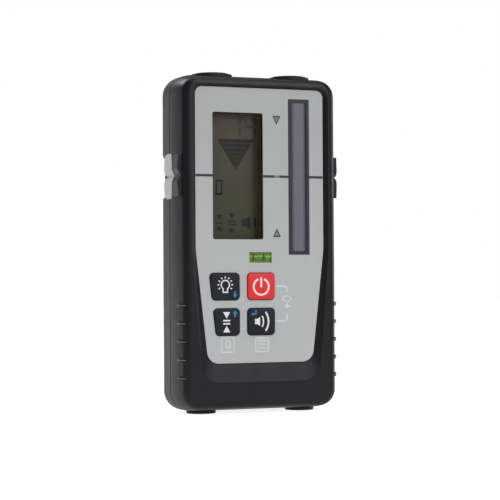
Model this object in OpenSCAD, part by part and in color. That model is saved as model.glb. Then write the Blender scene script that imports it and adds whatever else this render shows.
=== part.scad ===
// Hand-held laser receiver with a display, a tall light sensor, four keys and a battery door.
// Millimetres. The front faces -Y, +Z is up, and the feet stand on Z = 0.
// Heights of features are measured from the underside of the moulded body.

/* [Housing] */
// Width of the moulded body at its fullest, without the side markers
body_w = 77.6; // [77:0.2:84]
// Height of the moulded body, without feet and bumpers
body_h = 152.6; // [130:0.2:175]
// Depth of the body, from the front rim to the flat back
body_d = 29.4; // [29.2:0.2:33]
// Corner radius of the body seen from the front
corner_r = 9; // [8.75:0.25:10]
// Radius of the crown that bends the sides of the front shell inwards
crown_r = 56.5; // [54:0.5:70]
// Fillet round the front edge
front_fillet = 3.4; // [3:0.1:3.6]
// Fillet round the back edge
back_fillet = 6.5; // [6:0.25:6.75]
// Side wall of both shells
side_wall = 3.4; // [3.2:0.1:3.6]
// Wall of the front shell behind the panel
front_wall = 2; // [1.8:0.1:2.2]
// Wall of the flat back
back_wall = 2.4; // [2.2:0.1:2.8]
// Depth of the front shell, from the front rim to the parting line
front_depth = 14.9; // [14.6:0.1:15.4]
// Width of the shadow groove along the parting line
groove_w = 0.6; // [0.4:0.1:1]
// Depth of the shadow groove along the parting line
groove_depth = 0.4; // [0.3:0.05:0.6]

/* [Front panel] */
// Width of the panel above its taper
panel_w = 62.8; // [60:0.2:63]
// Width that the panel tapers to at its bottom edge
panel_bottom_w = 51.2; // [50:0.2:54]
// Height of the panel's bottom edge
panel_bottom = 21.8; // [20.8:0.1:22.6]
// Distance of the panel's top edge below the body's top
panel_top_gap = 6.1; // [5.9:0.1:6.8]
// Height where the taper starts
panel_taper = 73.2; // [68:0.4:76]
// Thickness of the panel
panel_t = 0.8; // [0.6:0.1:1]
// Depth of the panel's face below the front rim
panel_recess = 1.2; // [1:0.1:1.4]
// Radius of the panel's top corners
panel_top_r = 3.4; // [2.8:0.2:4.4]
// Radius of the panel's bottom corners
panel_bottom_r = 5.6; // [4.6:0.2:7]
// Gap between the panel's edge and the shell
panel_gap = 0.3; // [0.2:0.05:0.5]
// Width of the sloped bevel beside the panel's straight sides
bevel_side = 1.9; // [1.4:0.1:2]
// Width of the sloped bevel beside the panel's bottom end
bevel_low_side = 2.6; // [2.2:0.1:3.4]
// Width of the sloped bevel above the panel
bevel_top = 0.8; // [0.5:0.05:0.85]
// Height of the sloped bevel below the panel
bevel_bottom = 8.2; // [6:0.2:10]
// Radius of the bevel's bottom corners
bevel_bottom_r = 9; // [8:0.5:11]

/* [Display] */
// Centre of the display window, right of the middle
display_x = -10.8; // [-11.6:0.1:-10.4]
// Width of the display window
display_w = 24.6; // [23:0.2:25]
// Height of the display window's bottom edge
display_bottom = 77.7; // [76.7:0.1:79.5]
// Distance of the display window's top edge below the panel's top
display_top_gap = 11.3; // [10.5:0.1:13]
// Corner radius of the display window
window_r = 1; // [0.6:0.1:1.4]
// Thickness of the clear window
window_t = 1; // [0.8:0.1:1.2]
// Margin of the clear window behind the panel
window_lap = 1.5; // [1:0.1:2]
// Depth of the display's face behind the panel's face
display_depth = 6.2; // [5.8:0.1:6.6]
// Wall of the holder round the display
display_frame_wall = 1.8; // [1.2:0.1:2]

/* [Light sensor] */
// Centre of the sensor, right of the middle
sensor_x = 19.25; // [18.5:0.25:19.5]
// Width of the sensor's dark frame
sensor_w = 10.3; // [9.5:0.1:10.8]
// How far the sensor's dark frame reaches past the display window at each end
sensor_overhang = 6.85; // [5.5:0.05:7.2]
// Border of the dark frame round the strip
sensor_border = 1.5; // [1.2:0.1:2]
// Depth of the strip's face below the frame's face
sensor_sink = 0.3; // [0.2:0.1:0.6]
// Pitch of the ribs across the strip
lens_pitch = 1.5; // [1.2:0.1:2.5]
// Pitch of the light cells behind the strip
photodiode_pitch = 6.25; // [5:0.05:9]
// Height of each light cell
photodiode_h = 4.2; // [3:0.2:4.6]

/* [Level vial] */
// Height of the vial's axis
vial_z = 69.55; // [68.8:0.05:70.2]
// Length of the vial
vial_len = 10.8; // [10:0.2:12]
// Diameter of the vial
vial_d = 4.5; // [4:0.1:4.6]
// Wall of the vial
vial_wall = 0.5; // [0.4:0.05:0.6]
// Length of the bubble
bubble_len = 3.2; // [2.4:0.1:4]

/* [Keys] */
// Height of the upper row's middle
key_upper_z = 56.4; // [55.8:0.1:57.6]
// Height of the lower row's middle
key_lower_z = 40.4; // [39.2:0.1:41]
// Height of a key
key_h = 12; // [11.2:0.2:12.8]
// Width of the keys in the right column
key_w = 13.2; // [12.4:0.2:13.8]
// Middle of the right column, right of the middle of the body
key_right_x = 0.05; // [-0.3:0.05:0.6]
// Gap between the two columns of keys
key_column_gap = 4; // [3.2:0.2:4.6]
// Margin between the left column and the panel's slanted edge
key_margin = 5.2; // [4.8:0.1:6]
// Corner radius of the keys
key_r = 1.8; // [1.2:0.1:2.4]
// Height of a key above the panel
key_proud = 0.8; // [0.6:0.1:1]
// Chamfer round the face of a key
key_chamfer = 0.4; // [0.3:0.05:0.5]
// Travel of a key
key_travel = 0.6; // [0.4:0.1:0.7]
// Gap round a key in the panel
key_gap = 0.3; // [0.25:0.05:0.4]
// Width of the flange that holds a key in
key_flange = 0.9; // [0.7:0.1:1.1]
// Thickness of the flange
key_flange_t = 1; // [0.8:0.1:1.2]

/* [Side marks] */
// Height of a side mark
mark_h = 18.4; // [17:0.2:20]
// How far a side mark stands out of the side at its fullest
mark_proud = 0.6; // [0.55:0.05:0.9]
// How far the outer face of a side mark falls off towards its ends
mark_swell = 0.4; // [0.2:0.05:0.5]
// Depth of the dark block's front edge behind the front rim
mark_front = 2.6; // [2.2:0.1:3.2]
// Depth of the light mark's front edge behind the front rim, at the ends
mark_light_front = 11.8; // [11:0.2:12.4]
// Depth of the light mark's back edge behind the front rim
mark_back = 20.7; // [20.2:0.1:21.4]
// How far the light mark's front edge bows forward
mark_bow = 1.6; // [1.2:0.1:2]
// Width of the notch at its mouth
notch_w = 5.8; // [4.8:0.1:6.4]
// Depth of the notch below the body's side
notch_in = 0.8; // [0.6:0.05:0.9]
// Radius at the bottom of the notch
notch_r = 0.6; // [0.5:0.1:0.8]

/* [Grip ribs] */
// Number of ribs on each side
rib_count = 5; // [3:1:6]
// Height of the top rib
rib_top_z = 47.9; // [44.7:0.2:50]
// Pitch of the ribs
rib_pitch = 8.15; // [7:0.05:8.4]
// Height of one rib
rib_h = 2.7; // [2.2:0.1:3.2]
// How far a rib's crest reaches beyond the body's fullest width
rib_proud = 0.05; // [0:0.05:0.2]
// Radius of a rib's crest, seen from above
rib_r = 4.6; // [4.4:0.1:4.8]

/* [Bumpers and feet] */
// Diameter of a top bumper's base
bumper_d = 19; // [16:0.5:19.5]
// Diameter of a top bumper's flat
bumper_flat_d = 15.4; // [12:0.2:15.8]
// Height of a top bumper
bumper_h = 0.9; // [0.7:0.1:1.6]
// Distance of the bumpers' middles from the body's sides
bumper_inset = 19.6; // [18:0.1:21]
// Diameter of a foot
foot_d = 13.4; // [12:0.2:14.4]
// Height of a foot
foot_h = 1.1; // [0.9:0.1:2.4]
// Distance of the feet's middles from the body's sides
foot_inset = 14.4; // [13.4:0.1:16]
// Depth of the bumpers' centres behind the front rim
bumper_depth = 12.6; // [12.2:0.1:13.6]
// Depth of the feet's centres behind the front rim
foot_depth = 14.2; // [14:0.2:15.4]
// Depth of the seats in which the feet and bumpers are glued
pad_seat = 1.5; // [1.4:0.05:1.6]

/* [Battery bay] */
// Diameter of a battery cell
cell_d = 14.5; // [13.5:0.1:14.5]
// Length of a battery cell with its nub
cell_len = 50.5; // [48:0.5:51]
// Height of the middle of the battery bay
bay_z = 47; // [46.3:0.1:48.6]
// Room for the contacts at each end of the bay
contact_room = 2.4; // [2:0.1:3]
// Wall of the battery bay
bay_wall = 1.2; // [1:0.1:1.4]
// Width of the battery door
door_w = 38; // [37.5:0.5:42]
// Thickness of the battery door
door_t = 2.2; // [2:0.1:2.4]
// Corner radius of the battery door
door_r = 4; // [3:0.5:6]
// Gap round the battery door
door_gap = 0.3; // [0.3:0.05:0.5]
// Diameter of a door screw's head
door_head_d = 8; // [7:0.2:8.4]
// Diameter of a door screw's shank
door_shank_d = 3.7; // [3:0.1:4]

/* [Clamp fitting] */
// Core diameter of the clamp thread
clamp_bore_d = 5.2; // [4.8:0.1:6]
// Outer diameter of the brass insert
clamp_insert_d = 8.4; // [8:0.2:10]
// Length of the brass insert
clamp_insert_len = 9; // [7:0.5:9.5]
// Distance of the locating sockets from the thread
socket_x = 13; // [11:0.5:15]
// Diameter of a locating socket
socket_d = 5; // [4:0.25:6]
// Depth of a locating socket
socket_depth = 3; // [2:0.25:3.5]

/* [Case screws] */
// Distance of the case screws from the body's sides
case_screw_inset_x = 10; // [9.8:0.1:10.4]
// Distance of the case screws from the body's ends
case_screw_inset_z = 9.8; // [9.4:0.1:11]
// Diameter of a case screw's shank
case_shank_d = 2.6; // [2.2:0.1:3]
// Diameter of a case screw's head
case_head_d = 5.2; // [4.6:0.1:5.4]

/* [Hidden] */
$fn = 64;
hull_fn = 36;
crown_fn = 240;
// Clearance between pieces that are fixed together
fit = 0.1;
// Clearance between pieces that move past each other
slide_fit = 0.3;
// Length by which a cut runs past a face
over = 1;
// Extra radius that lets a corner round cross its slanted edges cleanly
round_spare = 0.005;

half_w = body_w / 2;
front_y = -body_d / 2;
back_y = body_d / 2;
part_y = front_y + front_depth;
// Where the crown meets the front fillet: its turn there, and how far in the fillet's centre lies
crown_turn = asin((front_depth - front_fillet) / (crown_r - front_fillet));
fillet_in = crown_r - (crown_r - front_fillet) * cos(crown_turn);
fillet_y = front_y + front_fillet;
panel_top = body_h - panel_top_gap;
panel_y = front_y + panel_recess;
panel_back_y = panel_y + panel_t;
inner_front_y = panel_back_y + front_wall;
inner_back_y = back_y - back_wall;

panel_slope = (panel_w - panel_bottom_w) / 2 / (panel_taper - panel_bottom);
panel_slant = sqrt(1 + panel_slope * panel_slope);

display_top = panel_top - display_top_gap;
display_h = display_top - display_bottom;
// Height of the reference line, which the side marks show
mark_z = (display_top + display_bottom) / 2;
display_face_y = panel_y + display_depth;
key_front_y = panel_y - key_proud;
flange_y = inner_front_y + slide_fit;
flange_back_y = flange_y + key_flange_t;
switch_h = 2.4;
switch_w = 5;
switch_body_h = 1.7;
plunger_d = 3;
board_y = flange_back_y + key_travel + slide_fit + switch_h + fit;
board_t = 1.6;
board_back_y = board_y + board_t;
board_w = 50;
board_bottom = 18.3;
board_top = body_h - 6.3;
board_screw_d = 2;
board_screw_head_d = 4;
board_screw_head_t = 1.4;
board_boss_d = 5;
board_screw_depth = 2.4;
board_screw_slot = [2.8, 0.6, 0.6];
board_screws_at = [[8.2, board_top - 4.5], [-20, 70.8], [21, 63.3], [21, 27.3], [-21, 27.3]];

sensor_h = display_h + 2 * sensor_overhang;
sensor_board_t = 1.6;
sensor_board_y = inner_front_y + fit;
sensor_board_w = sensor_w + 1.4;
photodiode_w = 5;
lens_w = sensor_w - 2 * sensor_border;
lens_h = sensor_h - 2 * sensor_border;
lens_t = 1.4;
photodiode_t = sensor_board_y - panel_y - sensor_sink - lens_t - fit;
lens_groove = 0.35;
lens_end = 1;
photodiode_count = floor((lens_h - photodiode_h - lens_end) / photodiode_pitch) + 1;
header_h = 2;

vial_sink = 0.4;
vial_y = panel_y + vial_sink + vial_d / 2;
vial_slot_h = vial_d + 2 * fit;
vial_slot_w = vial_len + 2 * fit;
vial_cap = 0.8;
bubble_depth = 0.9;
holder_wall = 1;

mark_half = mark_h / 2;
mark_bevel = 0.2;
mark_seat = 1.6;
mark_edge = 0.4;
mark_x = half_w + mark_proud;
mark_bow_r = (mark_half * mark_half + mark_bow * mark_bow) / (2 * mark_bow);
light_half = mark_half + 1;
light_chamfer = 2;
notch_x = half_w - notch_in + notch_r;
scoop_in = 4.2;
scoop_flare = 2.4;
scoop_pad = 2.4;

rib_root = 3;
rib_face = 1.2;
rib_top_slope = 0.35;
rib_low_slope = 0.9;
rib_start = 80;
rib_sweep = 115;

bumper_x = half_w - bumper_inset;
bumper_edge = 0.3;
foot_x = half_w - foot_inset;
bumper_y = front_y + bumper_depth;
foot_y = front_y + foot_depth;
foot_taper = 0.3;

seal_w = 0.8;
seal_t = 0.8;
seal_cover = 0.5;
seal_relief = 0.02;
seal_inset = side_wall - seal_w - seal_cover;

cell_gap = 0.5;
nub_h = 1.3;
nub_d = 5.5;
leaf_w = 8;
leaf_t = 0.4;
leaf_half = 5;
leaf_foot = 2;
bay_half_w = cell_d + cell_gap + fit;
bay_half_h = cell_len / 2 + contact_room;
cell_x = (cell_d + cell_gap) / 2;
door_in_y = back_y - door_t;
ledge_gap = 0.4;
ledge_y = door_in_y - ledge_gap;
ledge_t = 1.6;
cell_y = ledge_y - cell_d / 2 - fit;
bay_in_y = cell_y - cell_d / 2 - fit;
seal_lap = 0.8;
door_seal_w = 1.2;
door_seal_groove = 0.6;
head_gap = 0.25;
door_screw_reach = bay_half_h + seal_lap + door_seal_w + door_head_d / 2 + 2 * head_gap;
door_end = 1;
door_half_h = door_screw_reach + door_head_d / 2 + door_end;
door_head_t = 1.2;
door_head_sink = 0.1;
coin_slot_w = 1.6;
coin_slot_depth = 0.8;
door_shank_len = 7;
insert_wall = 1;
door_insert_len = 6.5;
insert_sink = 0.2;
boss_wall = 1.4;
shank_gap = 0.15;
door_insert_r = door_shank_d / 2 + shank_gap + insert_wall;

case_screw_x = half_w - case_screw_inset_x;
case_head_t = 2;
case_head_depth = 5.8;
case_head_y = back_y - case_head_depth;
case_screw_reach = 7;
case_screw_spare = 1;
case_boss_d = 6.4;
cross_w = 0.7;
cross_len = 3.2;
cross_depth = 1;

buzzer_d = 14;
buzzer_t = 6.5;
buzzer_z = mark_z + 21.3;
buzzer_hole = 2;
port_d = 1.8;
port_pitch = 3.6;

// Everything is drawn from the body's underside and then stood on its feet
module stand() {
    translate([0, 0, foot_h]) children();
}

// A flat shape in X and Z, given depth from y0 to y1
module along_y(y0, y1) {
    translate([0, y1, 0]) rotate([90, 0, 0]) linear_extrude(height = y1 - y0) children();
}

// A flat shape in Y and Z, given width from x0 to x1
module along_x(x0, x1) {
    translate([x0, 0, 0]) rotate([90, 0, 90]) linear_extrude(height = x1 - x0) children();
}

// A flat shape in X and Y, given height from z0 to z1
module along_z(z0, z1) {
    translate([0, 0, z0]) linear_extrude(height = z1 - z0) children();
}

// A round rod or hole along Y at x, z
module rod_y(d, x, z, y0, y1) {
    translate([x, y1, z]) rotate([90, 0, 0]) cylinder(d = d, h = y1 - y0);
}

// The piece and its mirror image on the other side
module both_sides() {
    children();
    mirror([1, 0, 0]) children();
}

// What lies outside a quarter round of radius r
module outside_quarter(r) {
    difference() {
        square(r + over);
        circle(r);
    }
}

// A rectangle with round corners between two heights
module round_rect(half, z0, z1, r) {
    difference() {
        translate([-half, z0]) square([2 * half, z1 - z0]);
        for (side = [0, 1]) mirror([side, 0]) {
            translate([half - r, z1 - r]) outside_quarter(r);
            translate([half - r, z0 + r]) mirror([0, 1]) outside_quarter(r);
        }
    }
}

function unit(v) = v / norm(v);
function half_angle(a, b, c) = acos(unit(a - b) * unit(c - b)) / 2;
function round_centre(a, b, c, r) = b + unit(unit(a - b) + unit(c - b)) * r / sin(half_angle(a, b, c));
function round_start(a, b, c, r) = b + unit(a - b) * r / tan(half_angle(a, b, c));

// What a round of radius r takes off the corner b between its neighbours a and c
module corner_waste(a, b, c, r) {
    centre = round_centre(a, b, c, r);
    reach = 1 + over / r;
    difference() {
        polygon([centre, centre + (round_start(a, b, c, r) - centre) * reach, centre + (b - centre) * 2,
            centre + (round_start(c, b, a, r) - centre) * reach]);
        translate(centre) circle(r + round_spare);
    }
}

// A convex outline with its own radius at each corner
module round_outline(points, radii) {
    n = len(points);
    difference() {
        polygon(points);
        for (i = [0:n - 1])
            if (radii[i] > 0) corner_waste(points[(i + n - 1) % n], points[i], points[(i + 1) % n], radii[i]);
    }
}

// Half width of the panel's tapered part at a height
function panel_half(z) = panel_w / 2 - panel_slope * (panel_taper - z);

// Outline of the panel, grown all round
module panel_outline(grow) {
    top = panel_top + grow;
    bottom = panel_bottom - grow;
    half = panel_w / 2 + grow;
    knee = panel_taper - grow * (panel_slant - 1) / panel_slope;
    low = panel_half(bottom) + grow * panel_slant;
    round_outline([[-half, top], [half, top], [half, knee], [low, bottom], [-low, bottom], [-half, knee]],
        [panel_top_r + grow, panel_top_r + grow, 0, panel_bottom_r + grow, panel_bottom_r + grow, 0]);
}

// Outline of the recess round the panel at the front rim
module recess_outline() {
    top = panel_top + panel_gap + bevel_top;
    bottom = panel_bottom - panel_gap - bevel_bottom;
    half = panel_w / 2 + panel_gap + bevel_side;
    low = panel_bottom_w / 2 + panel_gap + bevel_low_side;
    top_r = corner_r - fillet_in + (half_w - fillet_in - half);
    round_outline([[-half, top], [half, top], [half, panel_taper], [low, bottom], [-low, bottom],
        [-half, panel_taper]], [top_r, top_r, 0, bevel_bottom_r, bevel_bottom_r, 0]);
}

// Corner points of a key, grown all round; column 0 follows the panel's slanted edge
function key_points(column, z, grow) =
    let (top = z + key_h / 2 + grow,
        bottom = z - key_h / 2 - grow,
        right = key_right_x + key_w / 2 + grow,
        inner = key_right_x - key_w / 2 - key_column_gap + grow)
    column == 1
        ? [[right - key_w - 2 * grow, top], [right, top], [right, bottom], [right - key_w - 2 * grow, bottom]]
        : [[key_margin - panel_half(top) - grow * panel_slant, top], [inner, top], [inner, bottom],
            [key_margin - panel_half(bottom) - grow * panel_slant, bottom]];

module key_outline(column, z, grow) {
    round_outline(key_points(column, z, grow), [for (i = [0:3]) key_r + grow]);
}

// The four keys as column and height
KEYS = [[0, key_upper_z], [1, key_upper_z], [0, key_lower_z], [1, key_lower_z]];

function key_middle(key) = key[0] == 1
    ? key_right_x
    : (key_points(0, key[1], 0)[0][0] + key_points(0, key[1], 0)[1][0]) / 2;

// Half of the shadow groove in a shell's edge, from y0 to y1
module edge_groove(y0, y1) {
    translate([corner_r - groove_depth, y0]) square([2 * over, y1 - y0]);
}

// What the front fillet takes off the crowned edge
module fillet_waste() {
    centre = [corner_r - fillet_in, fillet_y];
    reach = front_fillet + over;
    difference() {
        polygon([centre, centre + reach * [cos(crown_turn), -sin(crown_turn)],
            [corner_r + over, front_y - over], centre - [0, reach]]);
        translate(centre) circle(front_fillet + round_spare);
    }
}

// Section of the front shell's edge: crowned side, front fillet and groove
module front_section() {
    difference() {
        intersection() {
            translate([0, front_y]) square([corner_r, front_depth]);
            translate([corner_r - crown_r, part_y]) circle(crown_r, $fn = crown_fn);
        }
        fillet_waste();
        edge_groove(part_y - groove_w / 2, part_y + over);
    }
}

// Section of the back shell's edge: straight side, back fillet and groove
module back_section() {
    difference() {
        translate([0, part_y]) square([corner_r, back_y - part_y]);
        translate([corner_r - back_fillet, back_y - back_fillet]) outside_quarter(back_fillet);
        edge_groove(part_y - over, part_y + groove_w / 2);
    }
}

// A slab with the body's outline, round which an edge section runs
module body_slab(y0, y1) {
    across = half_w - corner_r;
    up = body_h - 2 * corner_r;
    translate([-across, y0, corner_r]) cube([2 * across, y1 - y0, up]);
    for (turn = [0, 180]) translate([0, 0, body_h / 2]) rotate([0, turn, 0]) {
        translate([across, 0, -up / 2]) linear_extrude(height = up) children();
        translate([across, 0, up / 2]) rotate([0, -90, 0]) linear_extrude(height = 2 * across) children();
        for (quarter = [0, 1]) translate([across, 0, (2 * quarter - 1) * up / 2])
            rotate([0, -90 * quarter, 0]) rotate([-90, 0, 0]) rotate_extrude(angle = 90) children();
    }
}

// The hollow inside a shell
module body_hollow(y0, y1) {
    along_y(y0, y1) round_rect(half_w - side_wall, side_wall, body_h - side_wall, corner_r - side_wall);
}

// Ring in the parting line, grown for its groove
module seal_ring(grow) {
    out = seal_inset - grow;
    in = seal_inset + seal_w + grow;
    difference() {
        round_rect(half_w - out, out, body_h - out, corner_r - out);
        round_rect(half_w - in, in, body_h - in, corner_r - in);
    }
}

// Section of a grip rib: r outwards, with a steep flank on top and a gentler one below
module rib_section() {
    flank = rib_r - rib_face;
    polygon([[rib_r - rib_root, -rib_h / 2], [flank, -rib_h / 2], [rib_r, rib_low_slope - rib_h / 2],
        [rib_r, rib_h / 2 - rib_top_slope], [flank, rib_h / 2], [rib_r - rib_root, rib_h / 2]]);
}

// One grip rib: a curved fin that rises out of the crowned side and sinks into the front fillet
module grip_rib(z) {
    translate([half_w + rib_proud - rib_r, front_y + rib_r + fit, z])
        rotate([0, 0, -rib_start]) rotate_extrude(angle = rib_sweep) rib_section();
}

// Side mark seen along Y: a block with sloped ends and a faintly swollen face, reaching in to x_in
module mark_section(x_in, half) {
    polygon([[x_in, mark_z - half - mark_bevel], [half_w, mark_z - half - mark_bevel],
        [mark_x - mark_swell, mark_z - half], [mark_x, mark_z - notch_w / 2],
        [mark_x, mark_z + notch_w / 2], [mark_x - mark_swell, mark_z + half],
        [half_w, mark_z + half + mark_bevel], [x_in, mark_z + half + mark_bevel]]);
}

// Notch in the side marks, with a round bottom
module mark_notch() {
    along_y(front_y - over, back_y + over) {
        polygon([[notch_x, mark_z + notch_r], [notch_x, mark_z - notch_r], [mark_x, mark_z - notch_w / 2],
            [mark_x + over, mark_z - notch_w / 2], [mark_x + over, mark_z + notch_w / 2],
            [mark_x, mark_z + notch_w / 2]]);
        translate([notch_x, mark_z]) circle(notch_r);
    }
}

// Light mark seen from the side: a bowed front edge and chamfered back corners
module light_outline(grow) {
    front = front_y + mark_light_front - mark_bow - grow;
    back = front_y + mark_back + grow;
    half = light_half + grow;
    intersection() {
        polygon([[front, mark_z - half], [back - light_chamfer, mark_z - half],
            [back, mark_z - half + light_chamfer], [back, mark_z + half - light_chamfer],
            [back - light_chamfer, mark_z + half], [front, mark_z + half]]);
        translate([front + mark_bow_r + grow, mark_z]) circle(mark_bow_r + grow);
    }
}

// Dark block in front of the light mark, with a blunt front edge
module mark_block() {
    edge = front_y + mark_front;
    root = half_w - side_wall / 2;
    intersection() {
        along_z(0, body_h) polygon([[root, edge], [mark_x - mark_edge, edge], [mark_x, edge + mark_edge],
            [mark_x, part_y], [root, part_y]]);
        along_y(front_y - over, part_y - groove_w) mark_section(half_w - side_wall, mark_half);
    }
}

module light_mark() {
    difference() {
        intersection() {
            along_x(half_w - mark_seat, mark_x + over) light_outline(0);
            along_y(front_y, back_y) mark_section(half_w - side_wall, light_half);
        }
        mark_notch();
    }
}

// Places of the case screws
CASE_SCREWS = [for (side = [-1, 1], z = [case_screw_inset_z, body_h - case_screw_inset_z])
    [side * case_screw_x, z]];

// Seats of the feet and bumpers
module pad_seats() {
    for (side = [-1, 1]) {
        translate([side * foot_x, foot_y, -over]) cylinder(d = foot_d + 2 * fit, h = over + pad_seat);
        translate([side * bumper_x, bumper_y, body_h - pad_seat])
            cylinder(d = bumper_d + 2 * fit, h = pad_seat + over);
    }
}

module front_shell() {
    color("#2b292d") stand() difference() {
        union() {
            difference() {
                body_slab(front_y, part_y) front_section();
                body_hollow(inner_front_y, part_y + over);
            }
            both_sides() {
                for (i = [0:rib_count - 1]) grip_rib(rib_top_z - i * rib_pitch);
                mark_block();
            }
            for (at = CASE_SCREWS) rod_y(case_boss_d, at[0], at[1], inner_front_y - over, part_y - fit);
            for (at = board_screws_at) rod_y(board_boss_d, at[0], at[1], inner_front_y - over, board_y);
        }
        recess_cut();
        along_y(panel_back_y - fit, inner_front_y + over) {
            window_outline(0);
            sensor_outline(fit);
            vial_slot();
            for (key = KEYS) key_outline(key[0], key[1], key_gap);
        }
        along_y(panel_back_y - fit, panel_back_y + window_t + fit) window_outline(window_lap + fit);
        for (at = CASE_SCREWS)
            rod_y(case_shank_d + fit, at[0], at[1],
                part_y - case_screw_reach - case_screw_spare, part_y + over);
        for (at = board_screws_at)
            rod_y(board_screw_d + fit, at[0], at[1], board_y - board_screw_depth - fit, board_y + over);
        along_y(part_y - seal_t - fit, part_y + over) seal_ring(fit / 2);
        both_sides() {
            along_x(half_w - mark_seat, mark_x + over) light_outline(fit);
            mark_notch();
        }
        pad_seats();
    }
}

// Sloped recess and the flat seat of the panel
module recess_cut() {
    along_y(front_y - over, panel_back_y) panel_outline(panel_gap);
    hull() {
        along_y(front_y - over, front_y) recess_outline($fn = hull_fn);
        along_y(panel_y - fit, panel_y) panel_outline(panel_gap, $fn = hull_fn);
    }
}

module window_outline(grow) {
    translate([display_x, 0])
        round_rect(display_w / 2 + grow, display_bottom - grow, display_top + grow, window_r + grow);
}

module sensor_outline(grow) {
    translate([sensor_x - sensor_w / 2 - grow, mark_z - sensor_h / 2 - grow])
        square([sensor_w + 2 * grow, sensor_h + 2 * grow]);
}

module vial_slot() {
    translate([-vial_slot_w / 2, vial_z - vial_slot_h / 2]) square([vial_slot_w, vial_slot_h]);
}

// Outline of the battery bay, grown all round
module bay_outline(grow) {
    translate([-bay_half_w - grow, bay_z - bay_half_h - grow])
        square([2 * (bay_half_w + grow), 2 * (bay_half_h + grow)]);
}

module door_outline(grow) {
    round_rect(door_w / 2 + grow, bay_z - door_half_h - grow, bay_z + door_half_h + grow, door_r + grow);
}

// Relief behind a light mark, open to the side and to the back
module mark_scoop() {
    start = front_y + mark_back;
    intersection() {
        along_z(0, body_h) polygon([[half_w + fit, start], [mark_x, start], [mark_x, back_y + over],
            [half_w - scoop_in, back_y + over], [half_w - scoop_in, back_y]]);
        along_y(start, back_y + over) polygon([[half_w - scoop_in, mark_z - light_half + scoop_flare],
            [half_w, mark_z - light_half], [mark_x, mark_z - light_half - mark_bevel],
            [mark_x, mark_z + light_half + mark_bevel], [half_w, mark_z + light_half],
            [half_w - scoop_in, mark_z + light_half - scoop_flare]]);
    }
}

module back_shell() {
    color("#343236") stand() difference() {
        union() {
            difference() {
                body_slab(part_y, back_y) back_section();
                body_hollow(part_y - over, inner_back_y);
            }
            along_y(ledge_y - ledge_t, inner_back_y + fit) door_outline(boss_wall);
            along_y(bay_in_y - bay_wall, inner_back_y) bay_outline(bay_wall);
            for (end = [-1, 1])
                rod_y(2 * (door_insert_r + boss_wall), 0, bay_z + end * door_screw_reach,
                    ledge_y - door_insert_len - boss_wall, ledge_y);
            rod_y(clamp_insert_d + 2 * boss_wall, 0, mark_z,
                back_y - insert_sink - clamp_insert_len - boss_wall, inner_back_y + fit);
            for (side = [-1, 1])
                rod_y(socket_d + 2 * boss_wall, side * socket_x, mark_z,
                    back_y - socket_depth - boss_wall, inner_back_y + fit);
            for (at = CASE_SCREWS)
                rod_y(case_head_d + 2 * (slide_fit + boss_wall), at[0], at[1],
                    part_y + fit, inner_back_y + fit);
            both_sides() along_y(front_y + mark_back, inner_back_y + fit)
                translate([half_w - side_wall - scoop_pad, mark_z - light_half - boss_wall])
                    square([scoop_pad + fit, 2 * (light_half + boss_wall)]);
        }
        along_y(ledge_y, back_y + over) door_outline(door_gap);
        along_y(bay_in_y, back_y + over) bay_outline(0);
        for (end = [-1, 1])
            rod_y(2 * (door_insert_r + fit / 2), 0, bay_z + end * door_screw_reach,
                ledge_y - insert_sink - door_insert_len, ledge_y + over);
        rod_y(clamp_insert_d + fit, 0, mark_z, back_y - insert_sink - clamp_insert_len, back_y + over);
        for (side = [-1, 1]) rod_y(socket_d, side * socket_x, mark_z, back_y - socket_depth, back_y + over);
        for (at = CASE_SCREWS) {
            rod_y(case_shank_d + 2 * fit, at[0], at[1], part_y - over, back_y);
            rod_y(case_head_d + 2 * slide_fit, at[0], at[1], case_head_y, back_y + over);
        }
        for (at = [[0, 0], [1, 0], [-1, 0], [0, 1], [0, -1]])
            rod_y(port_d, at[0] * port_pitch, buzzer_z + at[1] * port_pitch,
                inner_back_y - over, back_y + over);
        both_sides() {
            along_x(half_w - mark_seat, mark_x + over) light_outline(fit);
            mark_scoop();
        }
        pad_seats();
    }
}

module case_seal() {
    color("#1c1c1e") stand() along_y(part_y - seal_t, part_y - seal_relief) seal_ring(0);
}

module face_panel() {
    color("#b4b7b5") stand() along_y(panel_y, panel_back_y) difference() {
        panel_outline(0);
        window_outline(0);
        sensor_outline(fit);
        vial_slot();
        for (key = KEYS) key_outline(key[0], key[1], key_gap);
    }
}

module display_window() {
    color("#5c5a50", 0.35) stand() along_y(panel_back_y, panel_back_y + window_t) window_outline(window_lap);
}

module display_module() {
    color("#6a6c56") stand() along_y(display_face_y, board_y - fit) window_outline(-fit);
}

module display_frame() {
    color("#2e2a28") stand() along_y(inner_front_y, board_y - fit) difference() {
        window_outline(display_frame_wall);
        window_outline(0);
    }
}

module sensor_frame() {
    color("#34323e") stand() difference() {
        along_y(panel_y, inner_front_y) sensor_outline(0);
        along_y(panel_y - over, inner_front_y + over) sensor_outline(-sensor_border);
    }
}

// Ribbed strip over the light cells
module sensor_lens() {
    face = panel_y + sensor_sink;
    ribs = floor((lens_h - 2 * lens_end) / lens_pitch);
    color("#75727e") stand() difference() {
        along_y(face, face + lens_t) sensor_outline(-sensor_border - fit / 2);
        for (i = [0:ribs - 1])
            translate([sensor_x, face, mark_z + (i - (ribs - 1) / 2) * lens_pitch])
                cube([lens_w - lens_end, 2 * lens_groove, lens_pitch / 3], center = true);
    }
}

module sensor_board() {
    board_h = lens_h + 2 * lens_end;
    color("#2f5d43") stand() {
        along_y(sensor_board_y, sensor_board_y + sensor_board_t)
            translate([sensor_x - sensor_board_w / 2, mark_z - board_h / 2])
                square([sensor_board_w, board_h]);
        for (end = [-1, 1])
            along_y(sensor_board_y + sensor_board_t - fit, board_y - fit)
                translate([sensor_x - lens_w / 2, mark_z + end * board_h / 4]) square([lens_w, header_h]);
    }
}

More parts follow.
